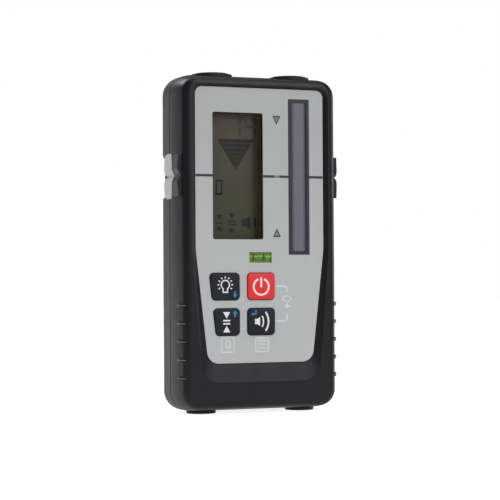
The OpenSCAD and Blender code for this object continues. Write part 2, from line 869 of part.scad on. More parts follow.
module photodiodes() {
    color("#1d2530") stand() for (i = [0:photodiode_count - 1])
        translate([sensor_x - photodiode_w / 2, sensor_board_y - photodiode_t,
            mark_z - photodiode_h / 2 + (i - (photodiode_count - 1) / 2) * photodiode_pitch])
            cube([photodiode_w, photodiode_t, photodiode_h]);
}

// A rod along X on the vial's axis
module vial_rod(d, length) {
    translate([-length / 2, vial_y, vial_z]) rotate([0, 90, 0]) cylinder(d = d, h = length);
}

module vial_tube() {
    color("#cfe3b4", 0.5) stand() difference() {
        vial_rod(vial_d, vial_len);
        vial_rod(vial_d - 2 * vial_wall, vial_len - 2 * vial_cap);
    }
}

// Liquid with the bubble left out at the top
module vial_liquid() {
    bore = vial_d - 2 * vial_wall - fit / 2;
    color("#7ab232") stand() difference() {
        vial_rod(bore, vial_len - 2 * vial_cap - fit / 2);
        translate([-bubble_len / 2, vial_y - bore, vial_z + bore / 2 - bubble_depth])
            cube([bubble_len, 2 * bore, bore]);
    }
}

module vial_holder() {
    half = vial_len / 2 + holder_wall;
    rear = vial_y + vial_d / 2 + holder_wall;
    color("#252428") stand() difference() {
        translate([-half, inner_front_y + fit, vial_z - vial_d / 2 - holder_wall])
            cube([2 * half, board_y - 2 * fit - inner_front_y, vial_d + 2 * holder_wall]);
        vial_rod(vial_d + fit, vial_len + fit);
        translate([-half - over, rear, vial_z - vial_d / 4])
            cube([2 * (half + over), board_y - rear + over, vial_d / 2]);
    }
}

// A key: a chamfered cap through the panel and a flange behind the shell's wall
module key_body(key) {
    stand() {
        hull() {
            along_y(key_front_y, key_front_y + fit) key_outline(key[0], key[1], -key_chamfer, $fn = hull_fn);
            along_y(key_front_y + key_chamfer, flange_y + fit) key_outline(key[0], key[1], 0, $fn = hull_fn);
        }
        along_y(flange_y, flange_back_y) key_outline(key[0], key[1], key_gap + key_flange);
    }
}

module backlight_key() {
    color("#2a2c38") key_body(KEYS[0]);
}

module power_key() {
    color("#d93434") key_body(KEYS[1]);
}

module tolerance_key() {
    color("#2a2c38") key_body(KEYS[2]);
}

module sound_key() {
    color("#2a2c38") key_body(KEYS[3]);
}

module main_board() {
    color("#2f5d43") stand() difference() {
        along_y(board_y, board_back_y)
            translate([-board_w / 2, board_bottom]) square([board_w, board_top - board_bottom]);
        for (at = board_screws_at)
            rod_y(board_screw_d + 2 * fit, at[0], at[1], board_y - over, board_back_y + over);
    }
}

module key_switches() {
    color("#b9b9bd") stand() for (key = KEYS) {
        translate([key_middle(key) - switch_w / 2, board_y - switch_body_h, key[1] - switch_w / 2])
            cube([switch_w, switch_body_h, switch_w]);
        rod_y(plunger_d, key_middle(key), key[1], board_y - switch_h, board_y - switch_body_h + fit);
    }
}

module board_screws() {
    color("#b4b4b8") stand() for (at = board_screws_at) {
        rod_y(board_screw_d, at[0], at[1], board_y - board_screw_depth, board_back_y + fit);
        difference() {
            rod_y(board_screw_head_d, at[0], at[1], board_back_y, board_back_y + board_screw_head_t);
            translate([at[0], board_back_y + board_screw_head_t, at[1]])
                cube([board_screw_slot[0], 2 * board_screw_slot[1], board_screw_slot[2]], center = true);
        }
    }
}

module buzzer() {
    color("#1b1b1d") stand() difference() {
        rod_y(buzzer_d, 0, buzzer_z, board_back_y, board_back_y + buzzer_t);
        rod_y(port_d, 0, buzzer_z, board_back_y + buzzer_t - buzzer_hole, board_back_y + buzzer_t + over);
    }
}

module left_marker() {
    color("#c8c5c3") stand() mirror([1, 0, 0]) light_mark();
}

module right_marker() {
    color("#c8c5c3") stand() light_mark();
}

// Low round bumper with a sloped rim, sunk into its seat
module bumper(side) {
    color("#202022") stand() translate([side * bumper_x, bumper_y, body_h]) rotate_extrude()
        polygon([[0, -pad_seat], [bumper_d / 2, -pad_seat], [bumper_d / 2, bumper_edge],
            [bumper_flat_d / 2, bumper_h], [0, bumper_h]]);
}

module bumper_left() {
    bumper(-1);
}

module bumper_right() {
    bumper(1);
}

// Round foot, sunk into its seat
module foot(side) {
    color("#202022") stand() translate([side * foot_x, foot_y, 0]) rotate_extrude()
        polygon([[0, pad_seat], [foot_d / 2, pad_seat], [foot_d / 2, foot_taper - foot_h],
            [foot_d / 2 - foot_taper, -foot_h], [0, -foot_h]]);
}

module foot_left() {
    foot(-1);
}

module foot_right() {
    foot(1);
}

// Two cells side by side, the second turned end for end
module battery_cells() {
    color("#5f6b78") stand() for (side = [-1, 1])
        translate([side * cell_x, cell_y, bay_z]) rotate([side < 0 ? 180 : 0, 0, 0]) {
            translate([0, 0, -cell_len / 2]) cylinder(d = cell_d, h = cell_len - nub_h);
            translate([0, 0, cell_len / 2 - nub_h - fit]) cylinder(d = nub_d, h = nub_h + fit);
        }
}

// Bent spring leaves at both ends of each cell
module battery_contacts() {
    tip = contact_room - fit;
    color("#c9c9c4") stand() for (side = [-1, 1], end = [-1, 1])
        translate([side * cell_x, 0, bay_z + end * bay_half_h]) mirror([0, 0, end > 0 ? 1 : 0])
            along_y(cell_y - leaf_w / 2, cell_y + leaf_w / 2) difference() {
                polygon([[-leaf_half, 0], [leaf_half, 0], [leaf_half, leaf_t], [leaf_t, tip], [-leaf_t, tip],
                    [-leaf_half, leaf_t]]);
                polygon([[leaf_foot - leaf_half, leaf_t], [leaf_half - leaf_foot, leaf_t],
                    [0, tip - leaf_t]]);
            }
}

module battery_door() {
    color("#2d2b2f") stand() difference() {
        along_y(door_in_y, back_y) door_outline(0);
        along_y(door_in_y - over, door_in_y + door_seal_groove) door_seal_ring(fit / 2);
        for (end = [-1, 1]) {
            rod_y(door_shank_d + 2 * head_gap, 0, bay_z + end * door_screw_reach,
                door_in_y - over, back_y + over);
            rod_y(door_head_d + 2 * head_gap, 0, bay_z + end * door_screw_reach,
                back_y - door_head_t - door_head_sink - head_gap, back_y + over);
        }
    }
}

// Ring of the door seal round the bay's mouth
module door_seal_ring(grow) {
    difference() {
        bay_outline(seal_lap + door_seal_w + grow);
        bay_outline(seal_lap - grow);
    }
}

module door_seal() {
    color("#1c1c1e") stand() along_y(ledge_y + fit, door_in_y + door_seal_groove) door_seal_ring(0);
}

// Coin-slot screw of the battery door
module door_screw(end) {
    face = back_y - door_head_sink;
    color("#8d8f93") stand() translate([0, 0, bay_z + end * door_screw_reach]) difference() {
        union() {
            rod_y(door_head_d, 0, 0, face - door_head_t, face);
            rod_y(door_shank_d, 0, 0, face - door_head_t - door_shank_len, face - door_head_t + fit);
        }
        translate([0, face, 0]) cube([door_head_d + over, 2 * coin_slot_depth, coin_slot_w], center = true);
    }
}

module door_screw_upper() {
    door_screw(1);
}

module door_screw_lower() {
    door_screw(-1);
}

module door_inserts() {
    back = ledge_y - insert_sink;
    color("#b8913f") stand() for (end = [-1, 1]) difference() {
        rod_y(2 * door_insert_r, 0, bay_z + end * door_screw_reach, back - door_insert_len, back);
        rod_y(2 * (door_insert_r - insert_wall), 0, bay_z + end * door_screw_reach,
            back - door_insert_len - over, back + over);
    }
}

module case_screws() {
    color("#4a4a4e") stand() for (at = CASE_SCREWS) difference() {
        union() {
            rod_y(case_head_d, at[0], at[1], case_head_y, case_head_y + case_head_t);
            rod_y(case_shank_d, at[0], at[1], part_y - case_screw_reach, case_head_y + fit);
        }
        translate([at[0], case_head_y + case_head_t, at[1]]) {
            cube([cross_len, 2 * cross_depth, cross_w], center = true);
            cube([cross_w, 2 * cross_depth, cross_len], center = true);
        }
    }
}

module clamp_insert() {
    color("#b8913f") stand() difference() {
        rod_y(clamp_insert_d, 0, mark_z, back_y - insert_sink - clamp_insert_len, back_y - insert_sink);
        rod_y(clamp_bore_d, 0, mark_z, back_y - insert_sink - clamp_insert_len + over, back_y + over);
    }
}

front_shell();
back_shell();
case_seal();
face_panel();
display_window();
display_module();
display_frame();
sensor_frame();
sensor_lens();
sensor_board();
photodiodes();
vial_tube();
vial_liquid();
vial_holder();
backlight_key();
power_key();
tolerance_key();
sound_key();
main_board();
key_switches();
board_screws();
buzzer();
left_marker();
right_marker();
bumper_left();
bumper_right();
foot_left();
foot_right();
battery_cells();
battery_contacts();
battery_door();
door_seal();
door_screw_upper();
door_screw_lower();
door_inserts();
case_screws();
clamp_insert();
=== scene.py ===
"""Studio scene of a hand-held laser receiver, dressed over its CAD frame.

Sizes in the classes are millimetres; Blender's own units are metres. The front faces -Y and +Z is up.
"""

import logging
import math
from abc import ABC, abstractmethod
from contextlib import contextmanager
from dataclasses import dataclass, field
from enum import Enum
from typing import Callable, Iterator, Sequence

import bmesh
import bpy
from mathutils import Matrix, Vector


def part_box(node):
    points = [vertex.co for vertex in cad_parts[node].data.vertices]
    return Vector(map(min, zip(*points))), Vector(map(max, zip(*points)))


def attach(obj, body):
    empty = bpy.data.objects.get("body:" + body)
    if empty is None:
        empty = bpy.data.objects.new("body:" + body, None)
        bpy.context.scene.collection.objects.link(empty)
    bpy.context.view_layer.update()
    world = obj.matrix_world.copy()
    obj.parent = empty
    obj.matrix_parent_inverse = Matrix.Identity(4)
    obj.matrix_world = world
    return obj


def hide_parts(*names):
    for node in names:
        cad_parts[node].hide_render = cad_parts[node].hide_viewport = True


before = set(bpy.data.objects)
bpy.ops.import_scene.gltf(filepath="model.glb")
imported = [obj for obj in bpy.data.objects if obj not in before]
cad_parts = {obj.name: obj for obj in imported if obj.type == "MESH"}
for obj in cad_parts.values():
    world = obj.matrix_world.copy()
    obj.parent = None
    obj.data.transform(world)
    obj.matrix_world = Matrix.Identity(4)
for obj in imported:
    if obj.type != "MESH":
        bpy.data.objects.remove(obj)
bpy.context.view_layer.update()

MM = 0.001
# A full turn in degrees and a quarter turn in radians
FULL_TURN = 360.0
QUARTER = math.pi / 2
WHITE = (1.0, 1.0, 1.0, 1.0)
# Places on a colour ramp where a drifting colour is darkest and lightest
DARK_STOP = 0.3
LIGHT_STOP = 0.7
# Radians that a wave texture of scale 1 runs through in one unit
WAVE_RADIANS = 20
# Sides of a round shape
ROUND_SIDES = 48
# Millimetres within which two places count as one, and two points as doubles
NEAR = 0.01
DOUBLES = 0.0002
log = logging.getLogger("receiver")

Rgb = tuple[int, int, int]
Point = tuple[float, float]
Place = tuple[float, float, float]
Piece = bpy.types.Object
Socket = bpy.types.NodeSocket
Stops = Sequence[tuple[float, Rgb]]
Marks = Iterator[tuple[str, list[Piece]]]


class Body(Enum):
    """The bodies of the frame that new pieces ride on."""

    HOUSING = "housing"
    BACKLIGHT_KEY = "backlight_key"
    POWER_KEY = "power_key"
    TOLERANCE_KEY = "tolerance_key"
    SOUND_KEY = "sound_key"


class Pick(Enum):
    """What a selection in edit mode holds."""

    VERT = "VERT"
    EDGE = "EDGE"
    FACE = "FACE"


class Maths(Enum):
    """What a Math node does with two values."""

    MULTIPLY = "MULTIPLY"
    MAXIMUM = "MAXIMUM"


def linear(colour: Rgb) -> tuple[float, float, float, float]:
    """Turns a colour as it is seen on a screen into the shader's linear scale, by the sRGB curve.

    Args:
        colour: Red, green and blue from 0 to 255.

    Returns:
        The linear colour with an alpha of 1.
    """
    shares = [part / 255 for part in colour]
    tones = [s / 12.92 if s <= 0.04045 else ((s + 0.055) / 1.055) ** 2.4 for s in shares]
    return (*tones, 1.0)


def shade(colour: Rgb, factor: float) -> Rgb:
    """Lightens a colour by a factor above 1 or darkens it by one below 1."""
    return tuple(min(255, round(part * factor)) for part in colour)


def tone_pair(colour: Rgb, drift: float) -> Stops:
    """The dark and the light end of a colour that drifts by a share."""
    return [(DARK_STOP, shade(colour, 1 - drift)), (LIGHT_STOP, shade(colour, 1 + drift))]


def set_inputs(node: bpy.types.Node, **values: object) -> None:
    """Sets constants on a node's inputs, with _ for a blank in a socket's name."""
    for name, value in values.items():
        node.inputs[name.replace("_", " ")].default_value = value


class Graph:
    """Short calls for wiring a tree of shader nodes."""

    def __init__(self, tree: bpy.types.NodeTree) -> None:
        """Empties a tree, to wire it anew."""
        self.tree = tree
        self.tree.nodes.clear()

    def node(self, kind: str, **values: object) -> bpy.types.Node:
        """Adds a node.

        Args:
            kind: Its kind, without the first words that all shader nodes share.
            **values: Constants for its inputs.

        Returns:
            The node.
        """
        node = self.tree.nodes.new("ShaderNode" + kind)
        set_inputs(node, **values)
        return node

    def join(self, source: Socket, target: Socket) -> None:
        """Links two sockets."""
        self.tree.links.new(source, target)

    def feed(self, kind: str, *sources: Socket, **values: object) -> Socket:
        """Adds a node and feeds its inputs in their order.

        Args:
            kind: The node's kind.
            *sources: What its first inputs get.
            **values: Constants for other inputs.

        Returns:
            The node's first output.
        """
        node = self.node(kind, **values)
        for source, target in zip(sources, node.inputs):
            self.join(source, target)
        return node.outputs[0]

    def end(self, kind: str, shader: Socket) -> None:
        """Sends a shader to the surface of an output node."""
        self.join(shader, self.node(kind).inputs["Surface"])

    def work_out(self, what: Maths, first: Socket, second: Socket) -> Socket:
        """Works something out from two values.

        Args:
            what: What is done with them.
            first: One value.
            second: The other value.

        Returns:
            The result.
        """
        result = self.feed("Math", first, second)
        result.node.operation = what.value
        return result

    def axis(self, vector: Socket, name: str) -> Socket:
        """One part of a vector.

        Args:
            vector: The vector.
            name: The part, X, Y or Z.

        Returns:
            The part's value.
        """
        parts = self.node("SeparateXYZ")
        self.join(vector, parts.inputs["Vector"])
        return parts.outputs[name]

    def spread(self, source: Socket, reach: Point, ends: Point) -> Socket:
        """Maps a value from one range to another.

        Args:
            source: The value.
            reach: Where the range starts and ends.
            ends: What the value becomes there.

        Returns:
            The mapped value.
        """
        (low, high), (to_low, to_high) = reach, ends
        return self.feed("MapRange", source, From_Min=low, From_Max=high, To_Min=to_low, To_Max=to_high)

    def camera_rays(self) -> Socket:
        """1 for what the camera sees directly."""
        return self.node("LightPath").outputs["Is Camera Ray"]

    def seen_rays(self) -> Socket:
        """Tells the rays that show the background from those that light the object.

        Returns:
            1 for camera, glossy and transmission rays.
        """
        path = self.node("LightPath").outputs
        direct_or_glossy = self.work_out(Maths.MAXIMUM, path["Is Camera Ray"], path["Is Glossy Ray"])
        return self.work_out(Maths.MAXIMUM, direct_or_glossy, path["Is Transmission Ray"])


class Wiring(Graph):
    """The wiring of one material round a Principled shader, on Object coordinates."""

    def __init__(self, name: str) -> None:
        """Starts a material that holds one Principled shader.

        Args:
            name: Name of the material.
        """
        self.material = bpy.data.materials.new(name)
        self.material.use_nodes = True
        super().__init__(self.material.node_tree)
        self.shader = self.node("BsdfPrincipled")
        self.end("OutputMaterial", self.shader.outputs["BSDF"])
        self.place = self.node("TexCoord").outputs["Object"]

    def set(self, **values: object) -> None:
        """Sets constants on the shader."""
        set_inputs(self.shader, **values)

    def stretched(self, x: float, y: float, z: float) -> Socket:
        """Object coordinates scaled apart along each axis."""
        return self.feed("Mapping", self.place, Scale=(x, y, z))

    def noise(self, size: float, detail: float = 2.0, place: Socket | None = None) -> Socket:
        """A noise pattern with patches of a size in millimetres, on plain or given coordinates."""
        return self.feed("TexNoise", place or self.place, Scale=1 / (size * MM), Detail=detail)

    def bands(self, pitch: float, axis: str) -> Socket:
        """Even bands across one axis.

        Args:
            pitch: Distance from band to band in millimetres.
            axis: The axis that the bands cross, X, Y or Z.

        Returns:
            The pattern's value.
        """
        wave = self.node("TexWave", Scale=math.tau / WAVE_RADIANS / (pitch * MM))
        wave.bands_direction = axis
        self.join(self.place, wave.inputs["Vector"])
        return wave.outputs["Fac"]

    def along(self, axis: str, low: float, high: float) -> Socket:
        """A share that grows from 0 to 1 between two places in millimetres along an axis."""
        return self.spread(self.axis(self.place, axis), (low * MM, high * MM), (0.0, 1.0))

    def ramp(self, source: Socket, stops: Stops) -> Socket:
        """Colours a value by stops.

        Args:
            source: The value.
            stops: Pairs of place and colour, in rising order.

        Returns:
            The colour.
        """
        ramp = self.node("ValToRGB")
        while len(ramp.color_ramp.elements) < len(stops):
            ramp.color_ramp.elements.new(1.0)
        for element, (place, colour) in zip(ramp.color_ramp.elements, stops):
            element.position = place
            element.color = linear(colour)
        self.join(source, ramp.inputs["Fac"])
        return ramp.outputs["Color"]

    def blend(self, share: Socket, first: Socket, second: Socket) -> Socket:
        """Mixes two colours.

        Args:
            share: How much of the second colour there is.
            first: One colour.
            second: The other colour.

        Returns:
            The mixed colour.
        """
        mix = self.node("Mix")
        mix.data_type = "RGBA"
        for name, source in (("Factor", share), ("A", first), ("B", second)):
            self.join(source, mix.inputs[name])
        return mix.outputs["Result"]

    def colour(self, source: Socket) -> None:
        """Gives the shader its colour."""
        self.join(source, self.shader.inputs["Base Color"])

    def gloss(self, pattern: Socket, middle: float, drift: float) -> None:
        """Gives the shader a roughness that drifts about a middle by a pattern."""
        drifting = self.spread(pattern, (0.0, 1.0), (middle - drift, middle + drift))
        self.join(drifting, self.shader.inputs["Roughness"])

    def relief(self, height: Socket, depth: float) -> None:
        """Raises the surface by a pattern.

        Args:
            height: The pattern.
            depth: Its full depth in millimetres.
        """
        bump = self.node("Bump", Strength=1.0, Distance=depth * MM)
        self.join(height, bump.inputs["Height"])
        self.join(bump.outputs["Normal"], self.shader.inputs["Normal"])


@dataclass(frozen=True)
class Finish:
    """A moulded or painted surface: its colour, gloss and grain, and how far each drifts."""

    name: str
    colour: Rgb
    roughness: float = 0.5
    drift: float = 0.08
    drift_size: float = 14.0
    gloss_drift: float = 0.06
    grain_size: float = 0.4
    grain_depth: float = 0.01
    specular: float = 0.5

    def material(self) -> bpy.types.Material:
        """Builds the material once and hands the same one out later.

        Returns:
            The material.
        """
        known = bpy.data.materials.get(self.name + "_finish")
        if known:
            return known
        wiring = Wiring(self.name + "_finish")
        self.wire(wiring)
        return wiring.material

    def wire(self, wiring: Wiring) -> None:
        """Wires drifting colour, drifting gloss and a fine grain.

        Args:
            wiring: The material being made.
        """
        patches = wiring.noise(self.drift_size, detail=3.0)
        wiring.colour(wiring.ramp(patches, tone_pair(self.colour, self.drift)))
        self.wire_surface(wiring)

    def wire_surface(self, wiring: Wiring) -> None:
        """Wires grain and gloss, whose patches are a third as large as those of the colour.

        Args:
            wiring: The material being made.
        """
        wiring.set(Specular_IOR_Level=self.specular)
        wiring.gloss(wiring.noise(self.drift_size / 3), self.roughness, self.gloss_drift)
        wiring.relief(wiring.noise(self.grain_size, detail=1.0), self.grain_depth)


@dataclass(frozen=True)
class Metal(Finish):
    """Bare metal with fine brush lines."""

    brush: float = 24.0

    def wire(self, wiring: Wiring) -> None:
        """Wires the metal's colour, brush lines and gloss.

        Args:
            wiring: The material being made.
        """
        lines = wiring.noise(self.grain_size, place=wiring.stretched(1.0, 1.0, self.brush))
        wiring.set(Metallic=1.0)
        wiring.colour(wiring.ramp(lines, tone_pair(self.colour, self.drift)))
        wiring.gloss(lines, self.roughness, self.gloss_drift)
        wiring.relief(lines, self.grain_depth)


@dataclass(frozen=True)
class Clear(Finish):
    """Clear plastic or glass, tinted a little by its colour."""

    cover: float = 0.12

    def wire(self, wiring: Wiring) -> None:
        """Wires a see-through sheet with a faint drift in its tint."""
        super().wire(wiring)
        wiring.set(Alpha=self.cover)


@dataclass(frozen=True)
class Fade(Finish):
    """A surface whose colour changes slowly upwards into another one."""

    upper: Rgb = (255, 255, 255)
    upper_drift: float = 0.05
    low: float = 0.0
    high: float = 100.0

    def wire(self, wiring: Wiring) -> None:
        """Wires the slow change of colour.

        Args:
            wiring: The material being made.
        """
        patches = wiring.noise(self.drift_size)
        lower = wiring.ramp(patches, tone_pair(self.colour, self.drift))
        upper = wiring.ramp(patches, tone_pair(self.upper, self.upper_drift))
        wiring.colour(wiring.blend(wiring.along("Z", self.low, self.high), lower, upper))
        self.wire_surface(wiring)


@dataclass(frozen=True)
class LightStrip(Finish):
    """The smoky strip over the light cells, with a fine grid moulded into it and painted shade that darkens
    both its long edges.
    """

    pitch: float = 0.55
    middle: float = 19.25
    half: float = 3.6
    middle_tones: Point = (0.96, 1.03)
    # Darker tones at both edges of the strip: painted shade.
    shaded_edge_tones: Point = (0.6, 0.68)

    def wire(self, wiring: Wiring) -> None:
        """Wires the grid, and painted shade that darkens the strip towards both edges.

        Args:
            wiring: The material being made.
        """
        rows = wiring.bands(self.pitch, "Z")
        pale, deep = (
            wiring.ramp(rows, [(stop, shade(self.colour, tone)) for stop, tone in enumerate(tones)])
            for tones in (self.middle_tones, self.shaded_edge_tones))
        # Painted shade: the strip darkens towards its left and its right edge.
        left = wiring.along("X", self.middle - self.half, self.middle - self.half / 2)
        right = wiring.along("X", self.middle + self.half, self.middle + self.half / 2)
        wiring.colour(wiring.blend(right, deep, wiring.blend(left, deep, pale)))
        self.wire_surface(wiring)


@dataclass(frozen=True)
class CellJacket(Finish):
    """A battery's printed jacket: a bare metal rim at both ends and a paler band."""

    rim: Rgb = (176, 176, 172)
    rim_share: float = 0.035
    band: Rgb = (150, 116, 60)
    band_reach: Point = (0.3, 0.7)
    low: float = 23.25
    high: float = 73.75

    def wire(self, wiring: Wiring) -> None:
        """Wires the jacket's bands along the cell.

        Args:
            wiring: The material being made.
        """
        start, end = self.band_reach
        stops = [(0.0, self.rim), (self.rim_share, self.colour), (start, self.band),
                 (end, self.colour), (1 - self.rim_share, self.rim)]
        bands = wiring.ramp(wiring.along("Z", self.low, self.high), stops)
        bands.node.color_ramp.interpolation = "CONSTANT"
        wiring.colour(bands)
        self.wire_surface(wiring)


@dataclass(frozen=True)
class Board(Finish):
    """A circuit board with tracks under its green mask."""

    track: Rgb = (66, 122, 84)
    track_size: float = 3.0
    track_stretch: float = 0.2
    track_edge: float = 0.03
    maze_size: float = 9.0

    def wire(self, wiring: Wiring) -> None:
        """Wires a maze of tracks.

        Args:
            wiring: The material being made.
        """
        middle, edge, stretch = 0.5, self.track_edge, self.track_stretch
        stops = [(middle - edge, self.colour), (middle, self.track), (middle + edge, self.colour)]
        runs = (wiring.stretched(1.0, 1.0, stretch), wiring.stretched(stretch, 1.0, 1.0))
        rows, columns = (wiring.ramp(wiring.noise(self.track_size, 0.0, run), stops) for run in runs)
        wiring.colour(wiring.blend(wiring.noise(self.maze_size), rows, columns))
        self.wire_surface(wiring)


@dataclass(frozen=True)
class Liquid(Finish):
    """The vial's green liquid, which glows a little as light passes through it."""

    glow: float = 0.3
    glow_reach: Place = (0.8, 1.6, 0.4)

    def wire(self, wiring: Wiring) -> None:
        """Wires the liquid's colour and its depth.

        Args:
            wiring: The material being made.
        """
        super().wire(wiring)
        radius = tuple(reach * MM for reach in self.glow_reach)
        wiring.set(Subsurface_Weight=self.glow, Subsurface_Radius=radius, Subsurface_Scale=1.0)


SHELL_BLACK = Finish(
    "shell_black", (24, 20, 27), roughness=0.4, specular=0.3, grain_size=0.3, grain_depth=0.012)
# Lighter colour along the upper edges of the grip ribs: a painted highlight.
EDGE_HIGHLIGHT = Finish("edge_highlight", (104, 102, 103), roughness=0.36, drift=0.12, drift_size=2.0)
DOOR_BLACK = Finish(
    "door_black", (35, 33, 36), roughness=0.42, specular=0.22, grain_size=0.3, grain_depth=0.02)
SEAL_RUBBER = Finish("seal_rubber", (26, 26, 28), roughness=0.8, specular=0.3)
# Lighter towards the bottom and darker towards the top: painted light, standing in for the brighter light on
# the panel's lower part.
PANEL_GREY = Fade(
    "panel_grey", (186, 188, 189), drift=0.01, drift_size=30.0, grain_depth=0.004,
    upper=(170, 172, 172), upper_drift=0.012, low=30.0, high=130.0)
WINDOW_CLEAR = Clear("clear_window", (60, 52, 44), roughness=0.08, gloss_drift=0.02, grain_depth=0.0005)
DISPLAY_OLIVE = Fade(
    "display_olive", (64, 71, 44), roughness=0.45, drift=0.04,
    upper=(88, 80, 66), upper_drift=0.05, low=84.0, high=134.0)
INNER_BLACK = Finish("inner_black", (40, 30, 27), roughness=0.6, specular=0.3)
FRAME_BROWN = Finish("frame_brown", (84, 72, 58), roughness=0.6, specular=0.3)
VIAL_BLOCK = Finish("vial_block", (104, 136, 50), roughness=0.3, drift=0.05, drift_size=3.0)
SENSOR_DARK = Finish("sensor_dark", (56, 55, 66), roughness=0.45, specular=0.2)
SENSOR_STRIP = LightStrip("sensor_strip", (108, 107, 118), roughness=0.45, specular=0.25)
BOARD_GREEN = Board("board_green", (40, 84, 58), roughness=0.4)
DIODE_DARK = Finish("diode_dark", (26, 32, 44), roughness=0.25)
VIAL_CLEAR = Clear(
    "vial_clear", (102, 150, 40), roughness=0.08, gloss_drift=0.02, grain_depth=0.0005, cover=0.6)
VIAL_GREEN = Liquid("vial_green", (112, 170, 44), roughness=0.2, drift=0.1, drift_size=3.0)
VIAL_BUBBLE = Liquid("vial_bubble", (150, 205, 90), roughness=0.12, drift_size=2.0)
KEY_NAVY = Finish("key_navy", (33, 34, 45), specular=0.22, grain_size=0.25)
KEY_RED = Finish("key_red", (222, 48, 50), roughness=0.45, drift=0.04, specular=0.35, grain_size=0.25)
CONTACT_METAL = Metal("contact_metal", (200, 200, 196), roughness=0.28)
SCREW_STEEL = Metal("screw_steel", (178, 180, 184), roughness=0.3)
SCREW_DARK = Metal("screw_dark", (92, 92, 98), roughness=0.36)
MARKER_GREY = Finish("marker_grey", (197, 194, 192), drift=0.02, grain_size=0.3)
PAD_RUBBER = Finish(
    "pad_rubber", (30, 30, 33), roughness=0.62, specular=0.4, grain_size=0.5, grain_depth=0.02)
CELL_JACKET = CellJacket("cell_jacket", (58, 66, 78), roughness=0.3)
INSERT_BRASS = Metal("insert_brass", (196, 158, 84), roughness=0.3)
INK_DARK = Finish("ink_dark", (44, 46, 56), drift=0.05, drift_size=4.0)
INK_GREY = Finish("ink_grey", (120, 122, 124), drift=0.05, drift_size=4.0)
INK_PALE = Finish("ink_pale", (206, 209, 209), drift=0.02, drift_size=4.0)
INK_WHITE = Finish("ink_white", (226, 226, 232), drift=0.02, drift_size=3.0)
INK_PINK = Finish("ink_pink", (255, 212, 212), drift=0.02, drift_size=3.0)
INK_FILL = Finish("ink_fill", (128, 120, 124), drift=0.04, drift_size=2.0)
INK_GREEN = Finish("ink_green", (30, 50, 12), drift=0.05, drift_size=2.0)
INK_BLUE = Finish("ink_blue", (30, 118, 168), drift=0.05, drift_size=3.0)
LCD_DARK = Finish("lcd_dark", (8, 10, 18), roughness=0.4, drift=0.06, drift_size=4.0)
LCD_FAINT = Finish("lcd_faint", (56, 48, 40), roughness=0.4, drift=0.06, drift_size=4.0)

# Finish of each node of the frame
NODE_FINISHES: dict[str, Finish] = {
    "front_shell": SHELL_BLACK,
    "back_shell": SHELL_BLACK,
    "case_seal": SEAL_RUBBER,
    "face_panel": PANEL_GREY,
    "display_window": WINDOW_CLEAR,
    "display_module": DISPLAY_OLIVE,
    "display_frame": FRAME_BROWN,
    "sensor_frame": SENSOR_DARK,
    "sensor_lens": SENSOR_STRIP,
    "sensor_board": BOARD_GREEN,
    "photodiodes": DIODE_DARK,
    "vial_tube": VIAL_CLEAR,
    "vial_liquid": VIAL_GREEN,
    "vial_holder": VIAL_BLOCK,
    "backlight_key": KEY_NAVY,
    "power_key": KEY_RED,
    "tolerance_key": KEY_NAVY,
    "sound_key": KEY_NAVY,
    "main_board": BOARD_GREEN,
    "key_switches": CONTACT_METAL,
    "board_screws": SCREW_STEEL,
    "buzzer": INNER_BLACK,
    "left_marker": MARKER_GREY,
    "right_marker": MARKER_GREY,
    "bumper_left": PAD_RUBBER,
    "bumper_right": PAD_RUBBER,
    "foot_left": PAD_RUBBER,
    "foot_right": PAD_RUBBER,
    "battery_cells": CELL_JACKET,
    "battery_contacts": CONTACT_METAL,
    "battery_door": DOOR_BLACK,
    "door_seal": SEAL_RUBBER,
    "door_screw_upper": SCREW_STEEL,
    "door_screw_lower": SCREW_STEEL,
    "door_inserts": INSERT_BRASS,
    "case_screws": SCREW_DARK,
    "clamp_insert": INSERT_BRASS,
}


def dress_nodes() -> None:
    """Gives every node of the frame its finish."""
    for name, finish in NODE_FINISHES.items():
        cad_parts[name].material_slots[0].material = finish.material()
        log.info("node %s: %s", name, finish.name)


def deselect_all() -> None:
    """Leaves nothing selected."""
    bpy.ops.object.select_all(action="DESELECT")


def activate(piece: Piece) -> None:
    """Leaves one piece selected and active.

    Args:
        piece: The piece to work on.
    """
    deselect_all()
    piece.select_set(True)
    bpy.context.view_layer.objects.active = piece


@contextmanager
def editing(piece: Piece) -> Iterator[None]:
    """Opens one piece in edit mode and closes it again.

    Args:
        piece: The piece to work on.
    """
    activate(piece)
    bpy.ops.object.mode_set(mode="EDIT")
    try:
        yield
    finally:
        bpy.ops.object.mode_set(mode="OBJECT")


def pick_all(kind: Pick) -> None:
    """Selects everything in the piece that is open in edit mode."""
    bpy.ops.mesh.select_mode(type=kind.value)
    bpy.ops.mesh.select_all(action="SELECT")


def pick(piece: Piece, kind: Pick, test: Callable[[Vector], bool]) -> None:
    """Selects what lies where a test says, in the piece that is open in edit mode.

    Args:
        piece: The piece being edited.
        kind: Whether vertices, edges or faces are picked.
        test: Told the middle of each in millimetres, says whether to pick it.
    """
    bpy.ops.mesh.select_mode(type=kind.value)
    bpy.ops.mesh.select_all(action="DESELECT")
    mesh = bmesh.from_edit_mesh(piece.data)
    if kind is Pick.VERT:
        places = [(vert, vert.co) for vert in mesh.verts]
    elif kind is Pick.EDGE:
        places = [(edge, (edge.verts[0].co + edge.verts[1].co) / 2) for edge in mesh.edges]
    else:
        places = [(face, face.calc_center_median()) for face in mesh.faces]
    for item, place in places:
        item.select_set(test(place / MM))
    mesh.select_flush_mode()
    bmesh.update_edit_mesh(piece.data)


def settle(name: str, stretch: Sequence[float] = (1.0, 1.0, 1.0)) -> Piece:
    """Names the object that was just added and puts its size and place into its mesh.

    Args:
        name: Its new name.
        stretch: Its scale along its own axes.

    Returns:
        The piece.
    """
    piece = bpy.context.object
    piece.name = name
    piece.data.name = name
    piece.scale = stretch
    activate(piece)
    bpy.ops.object.transform_apply(location=True, rotation=True, scale=True)
    return piece


